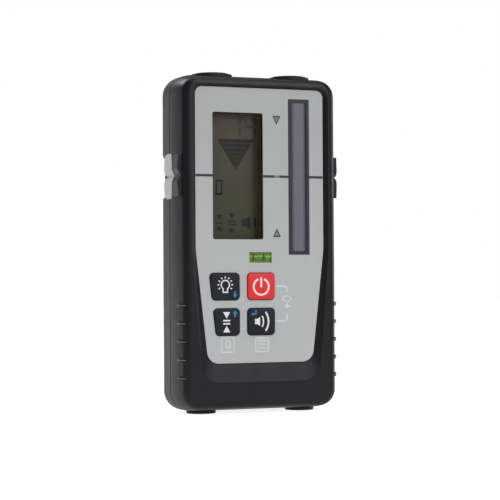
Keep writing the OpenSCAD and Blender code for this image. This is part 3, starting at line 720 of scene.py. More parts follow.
def sheet(name: str, place: Sequence[float], width: float, height: float, turn: float = 0.0) -> Piece:
    """A flat rectangle that looks along -Y.

    Args:
        name: Name of the piece.
        place: Its middle.
        width: Width before turning.
        height: Height before turning.
        turn: Turn in degrees, anticlockwise from the front.

    Returns:
        The new piece.
    """
    deselect_all()
    bpy.ops.mesh.primitive_plane_add(
        size=MM, location=[part * MM for part in place], rotation=(QUARTER, -math.radians(turn), 0))
    return settle(name, (width, height, 1.0))


def block(name: str, low: Sequence[float], high: Sequence[float]) -> Piece:
    """A box between two corners.

    Args:
        name: Name of the piece.
        low: Its lowest corner.
        high: Its highest corner.

    Returns:
        The new piece.
    """
    deselect_all()
    bpy.ops.mesh.primitive_cube_add(size=MM, location=[(a + b) / 2 * MM for a, b in zip(low, high)])
    return settle(name, [b - a for a, b in zip(low, high)])


def circle(name: str, place: Sequence[float], radius: float, turn: Sequence[float],
           sides: int = ROUND_SIDES) -> Piece:
    """A ring of edges.

    Args:
        name: Name of the piece.
        place: Its middle.
        radius: Its radius.
        turn: How it is turned out of the level plane, in radians.
        sides: How many edges it has.

    Returns:
        The new piece.
    """
    deselect_all()
    bpy.ops.mesh.primitive_circle_add(
        vertices=sides, radius=radius * MM, fill_type="NOTHING",
        location=[part * MM for part in place], rotation=turn)
    return settle(name)


def apply_modifier(piece: Piece, kind: str, **settings: object) -> None:
    """Adds one modifier and applies it.

    Args:
        piece: The piece to change.
        kind: Blender's name for the modifier.
        **settings: Its settings.
    """
    activate(piece)
    modifier = piece.modifiers.new(kind.lower(), kind)
    for name, value in settings.items():
        setattr(modifier, name, value)
    bpy.ops.object.modifier_apply(modifier=modifier.name)


def face_outwards(piece: Piece) -> None:
    """Merges doubles and turns every face outwards.

    Args:
        piece: The piece to mend.
    """
    with editing(piece):
        bpy.ops.mesh.select_all(action="SELECT")
        bpy.ops.mesh.remove_doubles(threshold=DOUBLES * MM)
        bpy.ops.mesh.normals_make_consistent(inside=False)


def smooth(piece: Piece, crease: float) -> None:
    """Shades a piece smooth, apart from edges sharper than a crease in degrees."""
    activate(piece)
    bpy.ops.object.shade_smooth_by_angle(angle=math.radians(crease))


def weld(pieces: Sequence[Piece], name: str) -> Piece:
    """Makes one closed solid of several that may overlap.

    Args:
        pieces: The solids.
        name: Name of the whole.

    Returns:
        The whole.
    """
    whole = pieces[0]
    for other in pieces[1:]:
        apply_modifier(whole, "BOOLEAN", operation="UNION", object=other, solver="EXACT")
        bpy.data.objects.remove(other)
    whole.name = name
    whole.data.name = name
    return whole


def hand_over(piece: Piece, finish: Finish, body: Body, slot: str, *nodes: str) -> None:
    """Gives a piece its finish and lets it ride on its body.

    Args:
        piece: The finished piece.
        finish: Its surface.
        body: The body that it moves with.
        slot: The record's material slot; not used.
        *nodes: Nodes of the frame that it stands for.
    """
    piece.data.materials.clear()
    piece.data.materials.append(finish.material())
    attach(piece, body.value)
    if nodes:
        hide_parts(*nodes)
    log.info("piece %s on %s: %d faces", piece.name, body.value, len(piece.data.polygons))


def node_front(name: str) -> float:
    """Depth of a node's front in millimetres."""
    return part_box(name)[0].y / MM


def off_arc(x: float, z: float, start: float, sweep: float) -> bool:
    """Says whether a direction lies outside an arc, both in degrees anticlockwise from the right."""
    return (math.degrees(math.atan2(z, x)) - start) % FULL_TURN > sweep


@dataclass(frozen=True)
class Press:
    """Prints flat marks on a face that looks along -Y, as thin closed films that ride on a body."""

    face: float
    body: Body
    slot: str
    film: float = 0.03
    bite: float = 0.02
    corner_steps: int = 5
    end_share: float = 0.48
    least_w: float = 0.02

    @property
    def middle(self) -> float:
        """Depth of the middle of the film."""
        return self.face + (self.bite - self.film) / 2

    def bar(self, x: float, z: float, width: float, height: float,
            turn: float = 0.0, round_by: float = 0.0) -> Piece:
        """A bar, with its corners rounded if asked.

        Args:
            x: Middle, to the right.
            z: Middle, upwards.
            width: Width before turning.
            height: Height before turning.
            turn: Turn in degrees, anticlockwise from the front.
            round_by: Radius of the corners.

        Returns:
            The flat mark.
        """
        piece = sheet("bar", (x, self.middle, z), width, height, turn)
        if round_by:
            with editing(piece):
                pick_all(Pick.VERT)
                bpy.ops.mesh.bevel(affect="VERTICES", offset=round_by * MM, segments=self.corner_steps)
        return piece

    def segment(self, x: float, z: float, width: float, height: float) -> Piece:
        """A display segment: a bar with pointed ends.

        Args:
            x: Middle, to the right.
            z: Middle, upwards.
            width: Its width.
            height: Its height.

        Returns:
            The flat mark.
        """
        piece = self.bar(x, z, width, height)
        cut = min(width, height) * self.end_share
        with editing(piece):
            pick_all(Pick.VERT)
            bpy.ops.mesh.bevel(affect="VERTICES", offset=cut * MM, segments=1)
        return piece

    def trapezium(self, x: float, z_top: float, z_low: float, top: float, low: float) -> Piece:
        """A level bar that narrows downwards.

        Args:
            x: Middle, to the right.
            z_top: Height of the upper edge.
            z_low: Height of the lower edge.
            top: Width of the upper edge.
            low: Width of the lower edge.

        Returns:
            The flat mark.
        """
        z = (z_top + z_low) / 2
        piece = self.bar(x, z, top, z_top - z_low)
        with editing(piece):
            pick(piece, Pick.VERT, lambda place: place.z < z)
            bpy.ops.transform.resize(
                value=(max(low, self.least_w) / top, 1, 1),
                center_override=(x * MM, self.middle * MM, z_low * MM))
        return piece

    def horn(self, neck: float, mouth: float, z: float, neck_h: float, mouth_h: float) -> Piece:
        """A loudspeaker's horn, which opens to the right.

        Args:
            neck: Its left edge.
            mouth: Its right edge.
            z: Middle, upwards.
            neck_h: Height of the left edge.
            mouth_h: Height of the right edge.

        Returns:
            The flat mark.
        """
        x = (neck + mouth) / 2
        piece = self.bar(x, z, mouth - neck, mouth_h)
        with editing(piece):
            pick(piece, Pick.VERT, lambda place: place.x < x)
            bpy.ops.transform.resize(
                value=(1, 1, neck_h / mouth_h), center_override=(neck * MM, self.middle * MM, z * MM))
        return piece

    def triangle(self, x: float, base: float, tip: float, width: float) -> Piece:
        """A triangle with a level base.

        Args:
            x: Middle, to the right.
            base: Height of its base.
            tip: Height of its tip, above or below the base.
            width: Width of its base.

        Returns:
            The flat mark.
        """
        # A triangle of radius 1 is the root of 3 wide and 1.5 high
        deselect_all()
        bpy.ops.mesh.primitive_circle_add(
            vertices=3, radius=MM, fill_type="NGON",
            location=(x * MM, self.middle * MM, (base + (tip - base) / 3) * MM),
            rotation=(QUARTER, 0 if tip > base else math.pi, 0))
        return settle("triangle", (width / math.sqrt(3), abs(tip - base) / 1.5, 1.0))

    def ring(self, x: float, z: float, radius: float, line: float,
             start: float = 0.0, sweep: float = FULL_TURN, flat: float = 1.0) -> Piece:
        """A ring or an arc.

        Args:
            x: Centre, to the right.
            z: Centre, upwards.
            radius: Radius of the middle of the line.
            line: Width of the line.
            start: Where an arc starts, in degrees anticlockwise from the right.
            sweep: How far it runs anticlockwise.
            flat: Height of an oval ring as a share of its width.

        Returns:
            The flat mark.
        """
        piece = circle("ring", (x, self.middle, z), radius - line / 2, (QUARTER, 0, 0))
        grow = (radius + line / 2) / (radius - line / 2)
        centre = Vector((x, self.middle, z)) * MM
        with editing(piece):
            if sweep < FULL_TURN:
                pick(piece, Pick.VERT, lambda place: off_arc(place.x - x, place.z - z, start, sweep))
                bpy.ops.mesh.delete(type="VERT")
            pick_all(Pick.VERT)
            bpy.ops.mesh.extrude_edges_move()
            bpy.ops.transform.resize(value=(grow, 1, grow), center_override=centre)
            if flat != 1.0:
                pick_all(Pick.VERT)
                bpy.ops.transform.resize(value=(1, 1, flat), center_override=centre)
        return piece

    def box(self, x: float, z: float, width: float, height: float, corner: float, line: float) -> Piece:
        """The outline of a rectangle with round corners.

        Args:
            x: Middle, to the right.
            z: Middle, upwards.
            width: Outer width.
            height: Outer height.
            corner: Outer radius of the corners.
            line: Width of the line.

        Returns:
            The flat mark.
        """
        piece = self.bar(x, z, width, height, round_by=corner)
        with editing(piece):
            pick_all(Pick.FACE)
            bpy.ops.mesh.inset(thickness=line * MM)
            bpy.ops.mesh.delete(type="FACE")
        return piece

    def lay(self, name: str, marks: Sequence[Piece], finish: Finish) -> None:
        """Makes flat marks one film of ink and hands it over.

        Args:
            name: Name of the printed piece.
            marks: The flat marks.
            finish: The ink.
        """
        for mark in marks:
            apply_modifier(mark, "SOLIDIFY", thickness=(self.film + self.bite) * MM, offset=0.0)
            face_outwards(mark)
        hand_over(weld(marks, name), finish, self.body, self.slot)


class Sign(ABC):
    """A sign that is made of flat marks."""

    @abstractmethod
    def marks(self, press: Press) -> Marks:
        """Makes the sign's marks, one film after the other, each with its name."""

    def show(self, press: Press, finish: Finish) -> None:
        """Prints the sign in one ink."""
        for name, marks in self.marks(press):
            press.lay(name, marks, finish)


@dataclass(frozen=True)
class BatterySign(Sign):
    """A battery: its outline and the charge that is left at its bottom."""

    name: str
    x: float
    z: float
    width: float
    height: float
    charge_z: float
    charge_h: float
    corner: float = 0.6
    line: float = 0.8

    def marks(self, press: Press) -> Marks:
        """Makes the outline and the charge."""
        outline = press.box(self.x, self.z, self.width, self.height, self.corner, self.line)
        yield self.name, [outline, press.bar(self.x, self.charge_z, self.width, self.charge_h)]


@dataclass(frozen=True)
class ToleranceSign(Sign):
    """Two triangles, each from its base to its tip, that point at the bars between them."""

    name: str
    x: float
    down: Point
    up: Point
    down_w: float
    up_w: float
    bars: tuple[float, ...]
    bar_h: float = 0.7

    def marks(self, press: Press) -> Marks:
        """Makes the triangles and the bars.

        Args:
            press: What prints them.

        Yields:
            The name and the marks of each film.
        """
        yield f"{self.name}_down", [press.triangle(self.x, *self.down, self.down_w)]
        yield f"{self.name}_up", [press.triangle(self.x, *self.up, self.up_w)]
        for number, z in enumerate(self.bars):
            yield f"{self.name}_bar_{number}", [press.bar(self.x, z, self.up_w, self.bar_h)]


@dataclass(frozen=True)
class Wave:
    """One wave of a loudspeaker: an arc that opens by an angle to both sides of its axis."""

    name: str
    x: float
    radius: float
    line: float
    half: float


@dataclass(frozen=True)
class SpeakerSign(Sign):
    """A loudspeaker: a box with a horn, and its waves."""

    name: str
    z: float
    neck: float
    mouth: float
    box_w: float
    box_h: float
    horn_h: float
    waves: tuple[Wave, ...]
    overlap: float = 0.1

    def marks(self, press: Press) -> Marks:
        """Makes the loudspeaker and its waves.

        Args:
            press: What prints them.

        Yields:
            The name and the marks of each film.
        """
        box = press.bar(self.neck - self.box_w / 2 + self.overlap, self.z, self.box_w, self.box_h)
        yield self.name, [box, press.horn(self.neck, self.mouth, self.z, self.box_h, self.horn_h)]
        for wave in self.waves:
            arc = press.ring(wave.x, self.z, wave.radius, wave.line, -wave.half, 2 * wave.half)
            yield wave.name, [arc]


@dataclass(frozen=True)
class BulbSign(Sign):
    """A lamp bulb, open at its neck, with rays round it."""

    name: str
    x: float
    z: float
    radius: float = 2.0
    line: float = 0.55
    arc: Point = (-58.0, 296.0)
    neck: float = 1.05
    foot: float = 54.9
    overlap: float = 0.4
    rays: int = 9
    ray_from: float = -30.0
    ray_step: float = 30.0
    ray_reach: float = 3.35
    ray_len: float = 0.8
    ray_w: float = 0.6
    ray_round: float = 0.2

    def marks(self, press: Press) -> Marks:
        """Makes the bulb and its rays.

        Args:
            press: What prints them.

        Yields:
            The name and the marks of each film.
        """
        lower = self.z - math.sqrt(self.radius ** 2 - self.neck ** 2)
        bulb = [press.ring(self.x, self.z, self.radius, self.line, *self.arc)]
        for side in (-1, 1):
            bulb.append(press.bar(self.x + side * self.neck, (lower + self.foot) / 2,
                                  self.line, lower - self.foot + self.overlap))
        bulb.append(press.bar(self.x, self.foot, 2 * self.neck + self.line, self.line))
        yield f"{self.name}_sign", bulb
        for number in range(self.rays):
            turn = self.ray_from + self.ray_step * number
            x = self.x + self.ray_reach * math.cos(math.radians(turn))
            z = self.z + self.ray_reach * math.sin(math.radians(turn))
            ray = press.bar(x, z, self.ray_len, self.ray_w, turn, self.ray_round)
            yield f"{self.name}_ray_{number}", [ray]


@dataclass(frozen=True)
class PowerSign(Sign):
    """A broken ring with a bar in its gap."""

    name: str
    x: float
    z: float
    radius: float = 3.7
    line: float = 0.95
    arc: Point = (112.0, 316.0)
    bar_z: float = 59.35
    bar_len: float = 4.6
    bar_round: float = 0.3

    def marks(self, press: Press) -> Marks:
        """Makes the ring and the bar.

        Args:
            press: What prints them.

        Yields:
            The name and the marks of each film.
        """
        yield f"{self.name}_ring", [press.ring(self.x, self.z, self.radius, self.line, *self.arc)]
        bar = press.bar(self.x, self.bar_z, self.line, self.bar_len, round_by=self.bar_round)
        yield f"{self.name}_bar", [bar]


@dataclass(frozen=True)
class ArrowSign(Sign):
    """A small upright arrow from its tail to its tip."""

    name: str
    x: float
    tail: float
    tip: float
    head_len: float = 1.7
    head_w: float = 2.3
    shaft_w: float = 0.9
    overlap: float = 0.1

    def marks(self, press: Press) -> Marks:
        """Makes the head and the shaft.

        Args:
            press: What prints them.

        Yields:
            The name and the marks of the film.
        """
        base = self.tip - math.copysign(self.head_len, self.tip - self.tail)
        shaft_len = abs(base - self.tail) + self.overlap
        shaft = press.bar(self.x, (self.tail + base) / 2, self.shaft_w, shaft_len)
        yield self.name, [press.triangle(self.x, base, self.tip, self.head_w), shaft]


@dataclass(frozen=True)
class ReturnSign(Sign):
    """An arrow that comes down and turns to the left."""

    name: str
    stem: Point
    shaft: Point
    head_x: float
    length: float = 1.9
    line: float = 0.6
    head_len: float = 1.2
    head_w: float = 1.6

    def marks(self, press: Press) -> Marks:
        """Makes the stem, the shaft and the head.

        Args:
            press: What prints them.

        Yields:
            The name and the marks of the film.
        """
        z = self.shaft[1]
        stem = press.bar(*self.stem, self.line, self.length)
        shaft = press.bar(*self.shaft, self.length, self.line)
        head = press.triangle(self.head_x, z - self.head_len / 2, z + self.head_len / 2, self.head_w)
        with editing(head):
            pick_all(Pick.VERT)
            bpy.ops.transform.rotate(
                value=QUARTER, orient_axis="Y", center_override=(self.head_x * MM, press.middle * MM, z * MM))
        yield self.name, [stem, shaft, head]


@dataclass
class GripEdges:
    """Upper edges of the grip ribs, which rise out of each rib and sink into it again, coloured lighter as a
    painted highlight.
    """

    count: int = 5
    top: float = 49.15
    pitch: float = 8.15
    rib_x: float = 34.25
    rib_y: float = -10.0
    rib_r: float = 4.6
    swell: float = 0.7
    facing: float = -20.0
    reach: float = 66.0
    thick: float = 0.5
    proud: float = 0.2
    sides: int = 12
    steps: int = 24
    crease: float = 40.0

    def build(self) -> None:
        """Models the uppermost edge on each side and copies it down the row."""
        for name, side in (("left", -1), ("right", 1)):
            first = self.model_edge(f"grip_edge_{name}_0", side)
            copies = [self.copy_down(first, f"grip_edge_{name}_{number}", number)
                      for number in range(1, self.count)]
            for edge in (first, *copies):
                # The edges take the lighter finish, which is a painted highlight along the rib tops.
                hand_over(edge, EDGE_HIGHLIGHT, Body.HOUSING, "shell_black")

    def model_edge(self, name: str, side: int) -> Piece:
        """Spins a round section into the edge of one rib.

        Args:
            name: Name of the piece.
            side: -1 for the left side and 1 for the right side.

        Returns:
            The edge.
        """
        facing = math.radians(self.facing)
        bend = self.rib_r + self.proud - self.thick / 2 - self.swell
        centre = Vector((side * (self.rib_x + self.swell * math.cos(facing)),
                         self.rib_y + self.swell * math.sin(facing), self.top))
        start = facing - math.radians(self.reach)
        place = centre + Vector((side * bend * math.cos(start), bend * math.sin(start), 0))
        edge = circle(name, place, self.thick / 2, (QUARTER, 0, side * start), self.sides)
        with editing(edge):
            bpy.ops.mesh.select_all(action="SELECT")
            bpy.ops.mesh.spin(steps=self.steps, angle=-side * math.radians(2 * self.reach),
                              center=centre * MM, axis=(0, 0, 1))
            bpy.ops.mesh.select_all(action="SELECT")
            bpy.ops.mesh.fill_holes(sides=self.sides)
        face_outwards(edge)
        smooth(edge, self.crease)
        return edge

    def copy_down(self, first: Piece, name: str, number: int) -> Piece:
        """Copies the first edge to a rib further down.

        Args:
            first: The edge to copy.
            name: Name of the copy.
            number: How many ribs further down.

        Returns:
            The copy.
        """
        activate(first)
        bpy.ops.object.duplicate(linked=False)
        bpy.ops.transform.translate(value=(0, 0, -number * self.pitch * MM))
        return settle(name)


@dataclass
class FrontPanel:
    """What is printed on the grey panel."""

    line_z: float = 107.55
    line_h: float = 1.15
    panel_half: float = 31.3
    display_edges: Point = (-23.1, 1.5)
    sensor_edges: Point = (14.1, 24.4)
    dash: Point = (7.1, 9.6)
    arrow_x: float = 8.2
    arrow_w: float = 4.0
    arrow_tips: tuple[Point, Point] = ((135.3, 131.2), (79.9, 83.9))
    arrow_fill: float = 0.6
    bracket_left: float = 7.5
    bracket_right: float = 13.0
    bracket_bend: float = 1.6
    bracket_line: float = 0.85
    # Name, level of the arm, end of the upright, and where the bend's quarter ring starts in degrees
    bracket_arms: tuple[tuple[str, float, float, float], ...] = (
        ("upper", 57.5, 54.8, 0.0), ("lower", 41.6, 44.6, 270.0))
    zero: Point = (12.85, 51.8)
    zero_r: float = 2.0
    zero_flat: float = 0.62
    plus: Point = (13.0, 48.4)
    plus_len: float = 2.8
    sign_line: float = 0.7
    # Middle, width and height of each box below the lower keys
    memory_box: tuple[float, float, float, float] = (-16.25, 31.2, 6.9, 7.2)
    menu_box: tuple[float, float, float, float] = (0.45, 31.0, 7.0, 6.9)
    box_corner: float = 1.0
    box_line: float = 0.75
    memory_ring: Point = (-16.1, 31.6)
    memory_ring_r: float = 1.15
    memory_ring_flat: float = 1.45
    menu_top: Point = (0.5, 32.8)
    menu_pitch: float = 1.6
    menu_count: int = 3
    menu_w: float = 4.4
    press: Press = field(
        default_factory=lambda: Press(node_front("face_panel"), Body.HOUSING, "panel_grey"))
    fill_press: Press = field(
        default_factory=lambda: Press(node_front("face_panel"), Body.HOUSING, "panel_grey", film=0.045))

    def build(self) -> None:
        """Prints the reference line, the two arrows and the pale key legends."""
        self.print_line()
        self.print_arrows()
        self.print_bracket()
        self.print_legends()

    def print_line(self) -> None:
        """Prints the reference line, which stops at the display and the sensor."""
        runs = [
            (-self.panel_half, self.display_edges[0], INK_DARK),
            (self.display_edges[1], self.dash[0], INK_DARK),
            (self.dash[0], self.dash[1], INK_GREY),
            (self.dash[1], self.sensor_edges[0], INK_DARK),
            (self.sensor_edges[1], self.panel_half, INK_DARK),
        ]
        for number, (start, end, finish) in enumerate(runs):
            mark = self.press.bar((start + end) / 2, self.line_z, end - start, self.line_h)
            self.press.lay(f"reference_line_{number}", [mark], finish)

    def print_arrows(self) -> None:
        """Prints the two dark arrows beside the sensor, each with a paler filling."""
        for number, (base, tip) in enumerate(self.arrow_tips):
            mark = self.press.triangle(self.arrow_x, base, tip, self.arrow_w)
            self.press.lay(f"panel_arrow_{number}", [mark], INK_DARK)
            level = base + (tip - base) / 3
            inner = [level + (z - level) * self.arrow_fill for z in (base, tip)]
            fill = self.fill_press.triangle(self.arrow_x, *inner, self.arrow_w * self.arrow_fill)
            self.fill_press.lay(f"panel_arrow_fill_{number}", [fill], INK_FILL)

    def print_bracket(self) -> None:
        """Prints the pale bracket beside the right keys and the signs in its gap."""
        press, line = self.press, self.bracket_line
        left, right, bend = self.bracket_left, self.bracket_right, self.bracket_bend
        for name, level, end, start in self.bracket_arms:
            turn = level + math.copysign(bend, end - level)
            marks = [
                press.bar((left + right - bend) / 2, level, right - bend - left, line),
                press.ring(right - bend, turn, bend, line, start, FULL_TURN / 4),
                press.bar(right, (turn + end) / 2, line, abs(turn - end)),
            ]
            press.lay(f"bracket_{name}", marks, INK_PALE)
        zero = press.ring(*self.zero, self.zero_r, self.sign_line, flat=self.zero_flat)
        press.lay("bracket_zero", [zero], INK_PALE)
        upright = press.bar(*self.plus, self.sign_line, self.plus_len)
        level_bar = press.bar(*self.plus, self.plus_len, self.sign_line)
        press.lay("bracket_plus", [upright, level_bar], INK_PALE)

    def print_legends(self) -> None:
        """Prints the pale boxes below the lower keys and what stands in them."""
        press, line = self.press, self.box_line
        press.lay("memory_box", [press.box(*self.memory_box, self.box_corner, line)], INK_PALE)
        ring = press.ring(*self.memory_ring, self.memory_ring_r, line, flat=self.memory_ring_flat)
        press.lay("memory_ring", [ring], INK_PALE)
        press.lay("menu_box", [press.box(*self.menu_box, self.box_corner, line)], INK_PALE)
        x, top = self.menu_top
        for number in range(self.menu_count):
            mark = press.bar(x, top - self.menu_pitch * number, self.menu_w, line)
            press.lay(f"menu_line_{number}", [mark], INK_PALE)


class Segment(Enum):
    """Bars of a seven-segment digit that the shown digits need."""

    UPPER_LEFT = "upper_left"
    UPPER_RIGHT = "upper_right"
    MIDDLE = "middle"
    LOWER_RIGHT = "lower_right"


DIGITS: dict[int, tuple[Segment, ...]] = {
    1: (Segment.UPPER_RIGHT, Segment.LOWER_RIGHT),
    4: (Segment.UPPER_LEFT, Segment.UPPER_RIGHT, Segment.MIDDLE, Segment.LOWER_RIGHT),
}


@dataclass
class Display:
    """What the liquid crystal display shows."""

    digit_top: float = 135.0
    digit_low: float = 125.8
    digit_w: float = 5.7
    digit_bar: float = 1.25
    digits: tuple[tuple[int, float], ...] = ((1, -12.35), (4, -5.1))
    arrow_top: float = 124.7
    arrow_tip: float = 110.6
    arrow_w: float = 18.2
    arrow_x: float = -9.5
    arrow_bars: int = 7
    arrow_gap: float = 0.14
    signs: tuple[Sign, ...] = (
        BatterySign("display_battery", -17.7, 102.6, 3.3, 7.0, charge_z=99.6, charge_h=1.0),
        ToleranceSign("display_coarse", -17.65, (90.1, 87.5), (82.65, 85.25), 3.6, 3.7, (86.37,)),
        ToleranceSign("display_fine", -11.5, (91.0, 88.4), (82.2, 84.8), 3.6, 3.7, (87.25, 85.75)),
        SpeakerSign("display_speaker", 86.55, neck=-5.0, mouth=-2.4, box_w=1.9, box_h=3.2, horn_h=6.7,
                    waves=(Wave("display_speaker_wave", -4.2, 4.3, 0.9, 34.0),)),
    )
    press: Press = field(
        default_factory=lambda: Press(node_front("display_module"), Body.HOUSING, "display_olive", film=0.05))

    def build(self) -> None:
        """Shows the digits, the big arrow and the signs below."""
        for value, x in self.digits:
            self.show_digit(value, x)
        self.show_arrow()
        for sign in self.signs:
            sign.show(self.press, LCD_DARK)

    def show_digit(self, value: int, x: float) -> None:
        """Shows one digit.

        Args:
            value: The digit.
            x: Its left edge.
        """
        half = (self.digit_top - self.digit_low) / 2
        level = (self.digit_top + self.digit_low) / 2
        bar, width = self.digit_bar, self.digit_w
        tall = half - bar / 2
        places = {
            Segment.MIDDLE: (x + width / 2, level, width - bar, bar),
            Segment.UPPER_LEFT: (x + bar / 2, level + half / 2, bar, tall),
            Segment.UPPER_RIGHT: (x + width - bar / 2, level + half / 2, bar, tall),
            Segment.LOWER_RIGHT: (x + width - bar / 2, level - half / 2, bar, tall),
        }
        for segment in DIGITS[value]:
            mark = self.press.segment(*places[segment])
            self.press.lay(f"display_digit_{value}_{segment.value}", [mark], LCD_FAINT)

    def show_arrow(self) -> None:
        """Shows the big arrow, split into level bars."""
        height = self.arrow_top - self.arrow_tip
        step = height / self.arrow_bars
        for number in range(self.arrow_bars):
            top = self.arrow_top - number * step
            low = top - step + self.arrow_gap
            widths = [self.arrow_w * (z - self.arrow_tip) / height for z in (top, low)]
            mark = self.press.trapezium(self.arrow_x, top, low, *widths)
            self.press.lay(f"display_arrow_{number}", [mark], LCD_DARK)


@dataclass
class LightSensor:
    """The smoky strip in its frame."""

    edge: float = 0.45
    steps: int = 4
    crease: float = 30.0

    def build(self) -> None:
        """Models the strip as a bar whose long front edges are rounded."""
        low, high = (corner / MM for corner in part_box("sensor_lens"))
        strip = block("light_strip", low, high)
        front = low.y + self.edge / 2
        middle = (low.x + high.x) / 2
        with editing(strip):
            pick(strip, Pick.EDGE, lambda place: place.y < front and abs(place.x - middle) > self.edge)
            bpy.ops.mesh.bevel(offset=self.edge * MM, segments=self.steps)
        smooth(strip, self.crease)
        hand_over(strip, SENSOR_STRIP, Body.HOUSING, "sensor_strip", "sensor_lens")


@dataclass
class LevelVial:
    """The marks round the level vial, its bubble and the rims of its clear block."""

    ring_places: Point = (-3.4, 1.85)
    ring_w: float = 0.65
    ring_t: float = 0.06
    bubble_len: float = 3.4
    bubble_x: float = -1.1
    bubble_d: float = 1.9
    bubble_fore: float = 0.5
    bubble_rise: float = 0.25
    bubble_sides: int = 24
    rim_sink: float = 0.9
    rim_deep: float = 1.2
    rim_over: float = 0.05
    rim_round: float = 0.15
    rim_steps: int = 3

    def build(self) -> None:
        """Models the rings, the bubble and the rims."""
        low, high = (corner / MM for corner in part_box("vial_tube"))
        axis = (low + high) / 2
        radius = (high.z - low.z) / 2
        for number, x in enumerate(self.ring_places):
            self.model_ring(f"vial_ring_{number}", x, axis, radius)
        self.model_bubble(axis)
        for name, side in (("lower", -1), ("upper", 1)):
            self.model_rim(f"vial_rim_{name}", side, axis, radius, (high.x - low.x) / 2)

    def model_ring(self, name: str, x: float, axis: Vector, radius: float) -> None:
        """Models a thin band round the vial.

        Args:
            name: Name of the piece.
            x: Middle of the band.
            axis: A point on the vial's axis.
            radius: Radius of the vial.
        """
        band = circle(name, (x - self.ring_w / 2, axis.y, axis.z), radius, (0, QUARTER, 0))
        with editing(band):
            pick_all(Pick.VERT)
            bpy.ops.mesh.extrude_edges_move(TRANSFORM_OT_translate={"value": (self.ring_w * MM, 0, 0)})
            bpy.ops.mesh.select_all(action="SELECT")
            bpy.ops.mesh.normals_make_consistent(inside=False)
        apply_modifier(band, "SOLIDIFY", thickness=self.ring_t * MM, offset=1.0)
        face_outwards(band)
        hand_over(band, INK_GREEN, Body.HOUSING, "vial_green")

    def model_bubble(self, axis: Vector) -> None:
        """Models the bubble as a long drop in the upper front of the vial.

        Args:
            axis: A point on the vial's axis.
        """
        place = (self.bubble_x, axis.y - self.bubble_fore, axis.z + self.bubble_rise)
        deselect_all()
        bpy.ops.mesh.primitive_uv_sphere_add(
            segments=self.bubble_sides, ring_count=self.bubble_sides // 2, radius=self.bubble_d / 2 * MM,
            location=[part * MM for part in place], rotation=(0, QUARTER, 0))
        bubble = settle("vial_bubble")
        stretch = (self.bubble_len - self.bubble_d) / 2
        with editing(bubble):
            for side in (-1, 1):
                pick(bubble, Pick.VERT, lambda place: (place.x - self.bubble_x) * side > NEAR)
                bpy.ops.transform.translate(value=(side * stretch * MM, 0, 0))
        activate(bubble)
        bpy.ops.object.shade_smooth()
        hand_over(bubble, VIAL_BUBBLE, Body.HOUSING, "vial_green")

    def model_rim(self, name: str, side: int, axis: Vector, radius: float, half: float) -> None:
        """Models the face of the clear block above or below the vial.

        Args:
            name: Name of the piece.
            side: -1 below the vial and 1 above it.
            axis: A point on the vial's axis.
            radius: Radius of the vial.
            half: Half the length of the vial.
        """
        front = node_front("face_panel") + self.rim_sink
        inner = math.sqrt(radius ** 2 - (axis.y - front) ** 2)
        low, high = sorted((axis.z + side * inner, axis.z + side * (radius + self.rim_over)))
        rim = block(name, (-half, front, low), (half, front + self.rim_deep, high))
        with editing(rim):
            pick(rim, Pick.EDGE, lambda place: place.y < front + self.rim_round / 2)
            bpy.ops.mesh.bevel(offset=self.rim_round * MM, segments=self.rim_steps)
        hand_over(rim, VIAL_BLOCK, Body.HOUSING, "vial_clear")


@dataclass
class KeyCap:
    """One key: a soft-edged cap on the flange that holds it behind the wall."""

    name: str
    body: Body
    finish: Finish
    slot: str
    left: float
    right: float
    z: float
    slant: float = 0.0
    height: float = 12.0
    corner: float = 1.8
    corner_steps: int = 6
    rim: float = 0.45
    rim_steps: int = 4
    flange: float = 1.2
    flange_t: float = 1.0
    crease: float = 35.0

    def build(self) -> None:
        """Models the key from its flange forwards."""
        low, high = (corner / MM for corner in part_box(self.name))
        place = ((self.left + self.right) / 2, high.y, self.z)
        cap = sheet(self.name + "_cap", place, self.right - self.left + 2 * self.flange,
                    self.height + 2 * self.flange)
        rise = low.y - high.y + self.flange_t
        with editing(cap):
            if self.slant:
                self.lean(cap)
            pick_all(Pick.VERT)
            bpy.ops.mesh.bevel(
                affect="VERTICES", offset=(self.corner + self.flange) * MM, segments=self.corner_steps)
            pick_all(Pick.FACE)
            bpy.ops.mesh.extrude_region_move(TRANSFORM_OT_translate={"value": (0, -self.flange_t * MM, 0)})
            bpy.ops.mesh.inset(thickness=self.flange * MM)
            bpy.ops.mesh.extrude_region_move(TRANSFORM_OT_translate={"value": (0, rise * MM, 0)})
            pick(cap, Pick.EDGE, lambda place: place.y < low.y + NEAR)
            bpy.ops.mesh.bevel(offset=self.rim * MM, segments=self.rim_steps)
        face_outwards(cap)
        smooth(cap, self.crease)
        hand_over(cap, self.finish, self.body, self.slot, self.name)

    def lean(self, cap: Piece) -> None:
        """Slants the left edge so that it follows the panel's taper.

        Args:
            cap: The flat start of the key, open in edit mode.
        """
        middle = (self.left + self.right) / 2
        reach = self.slant * (self.height / 2 + self.flange)
        for side in (-1, 1):
            pick(cap, Pick.VERT, lambda place: place.x < middle and (place.z - self.z) * side > 0)
            bpy.ops.transform.translate(value=(-side * reach * MM, 0, 0))


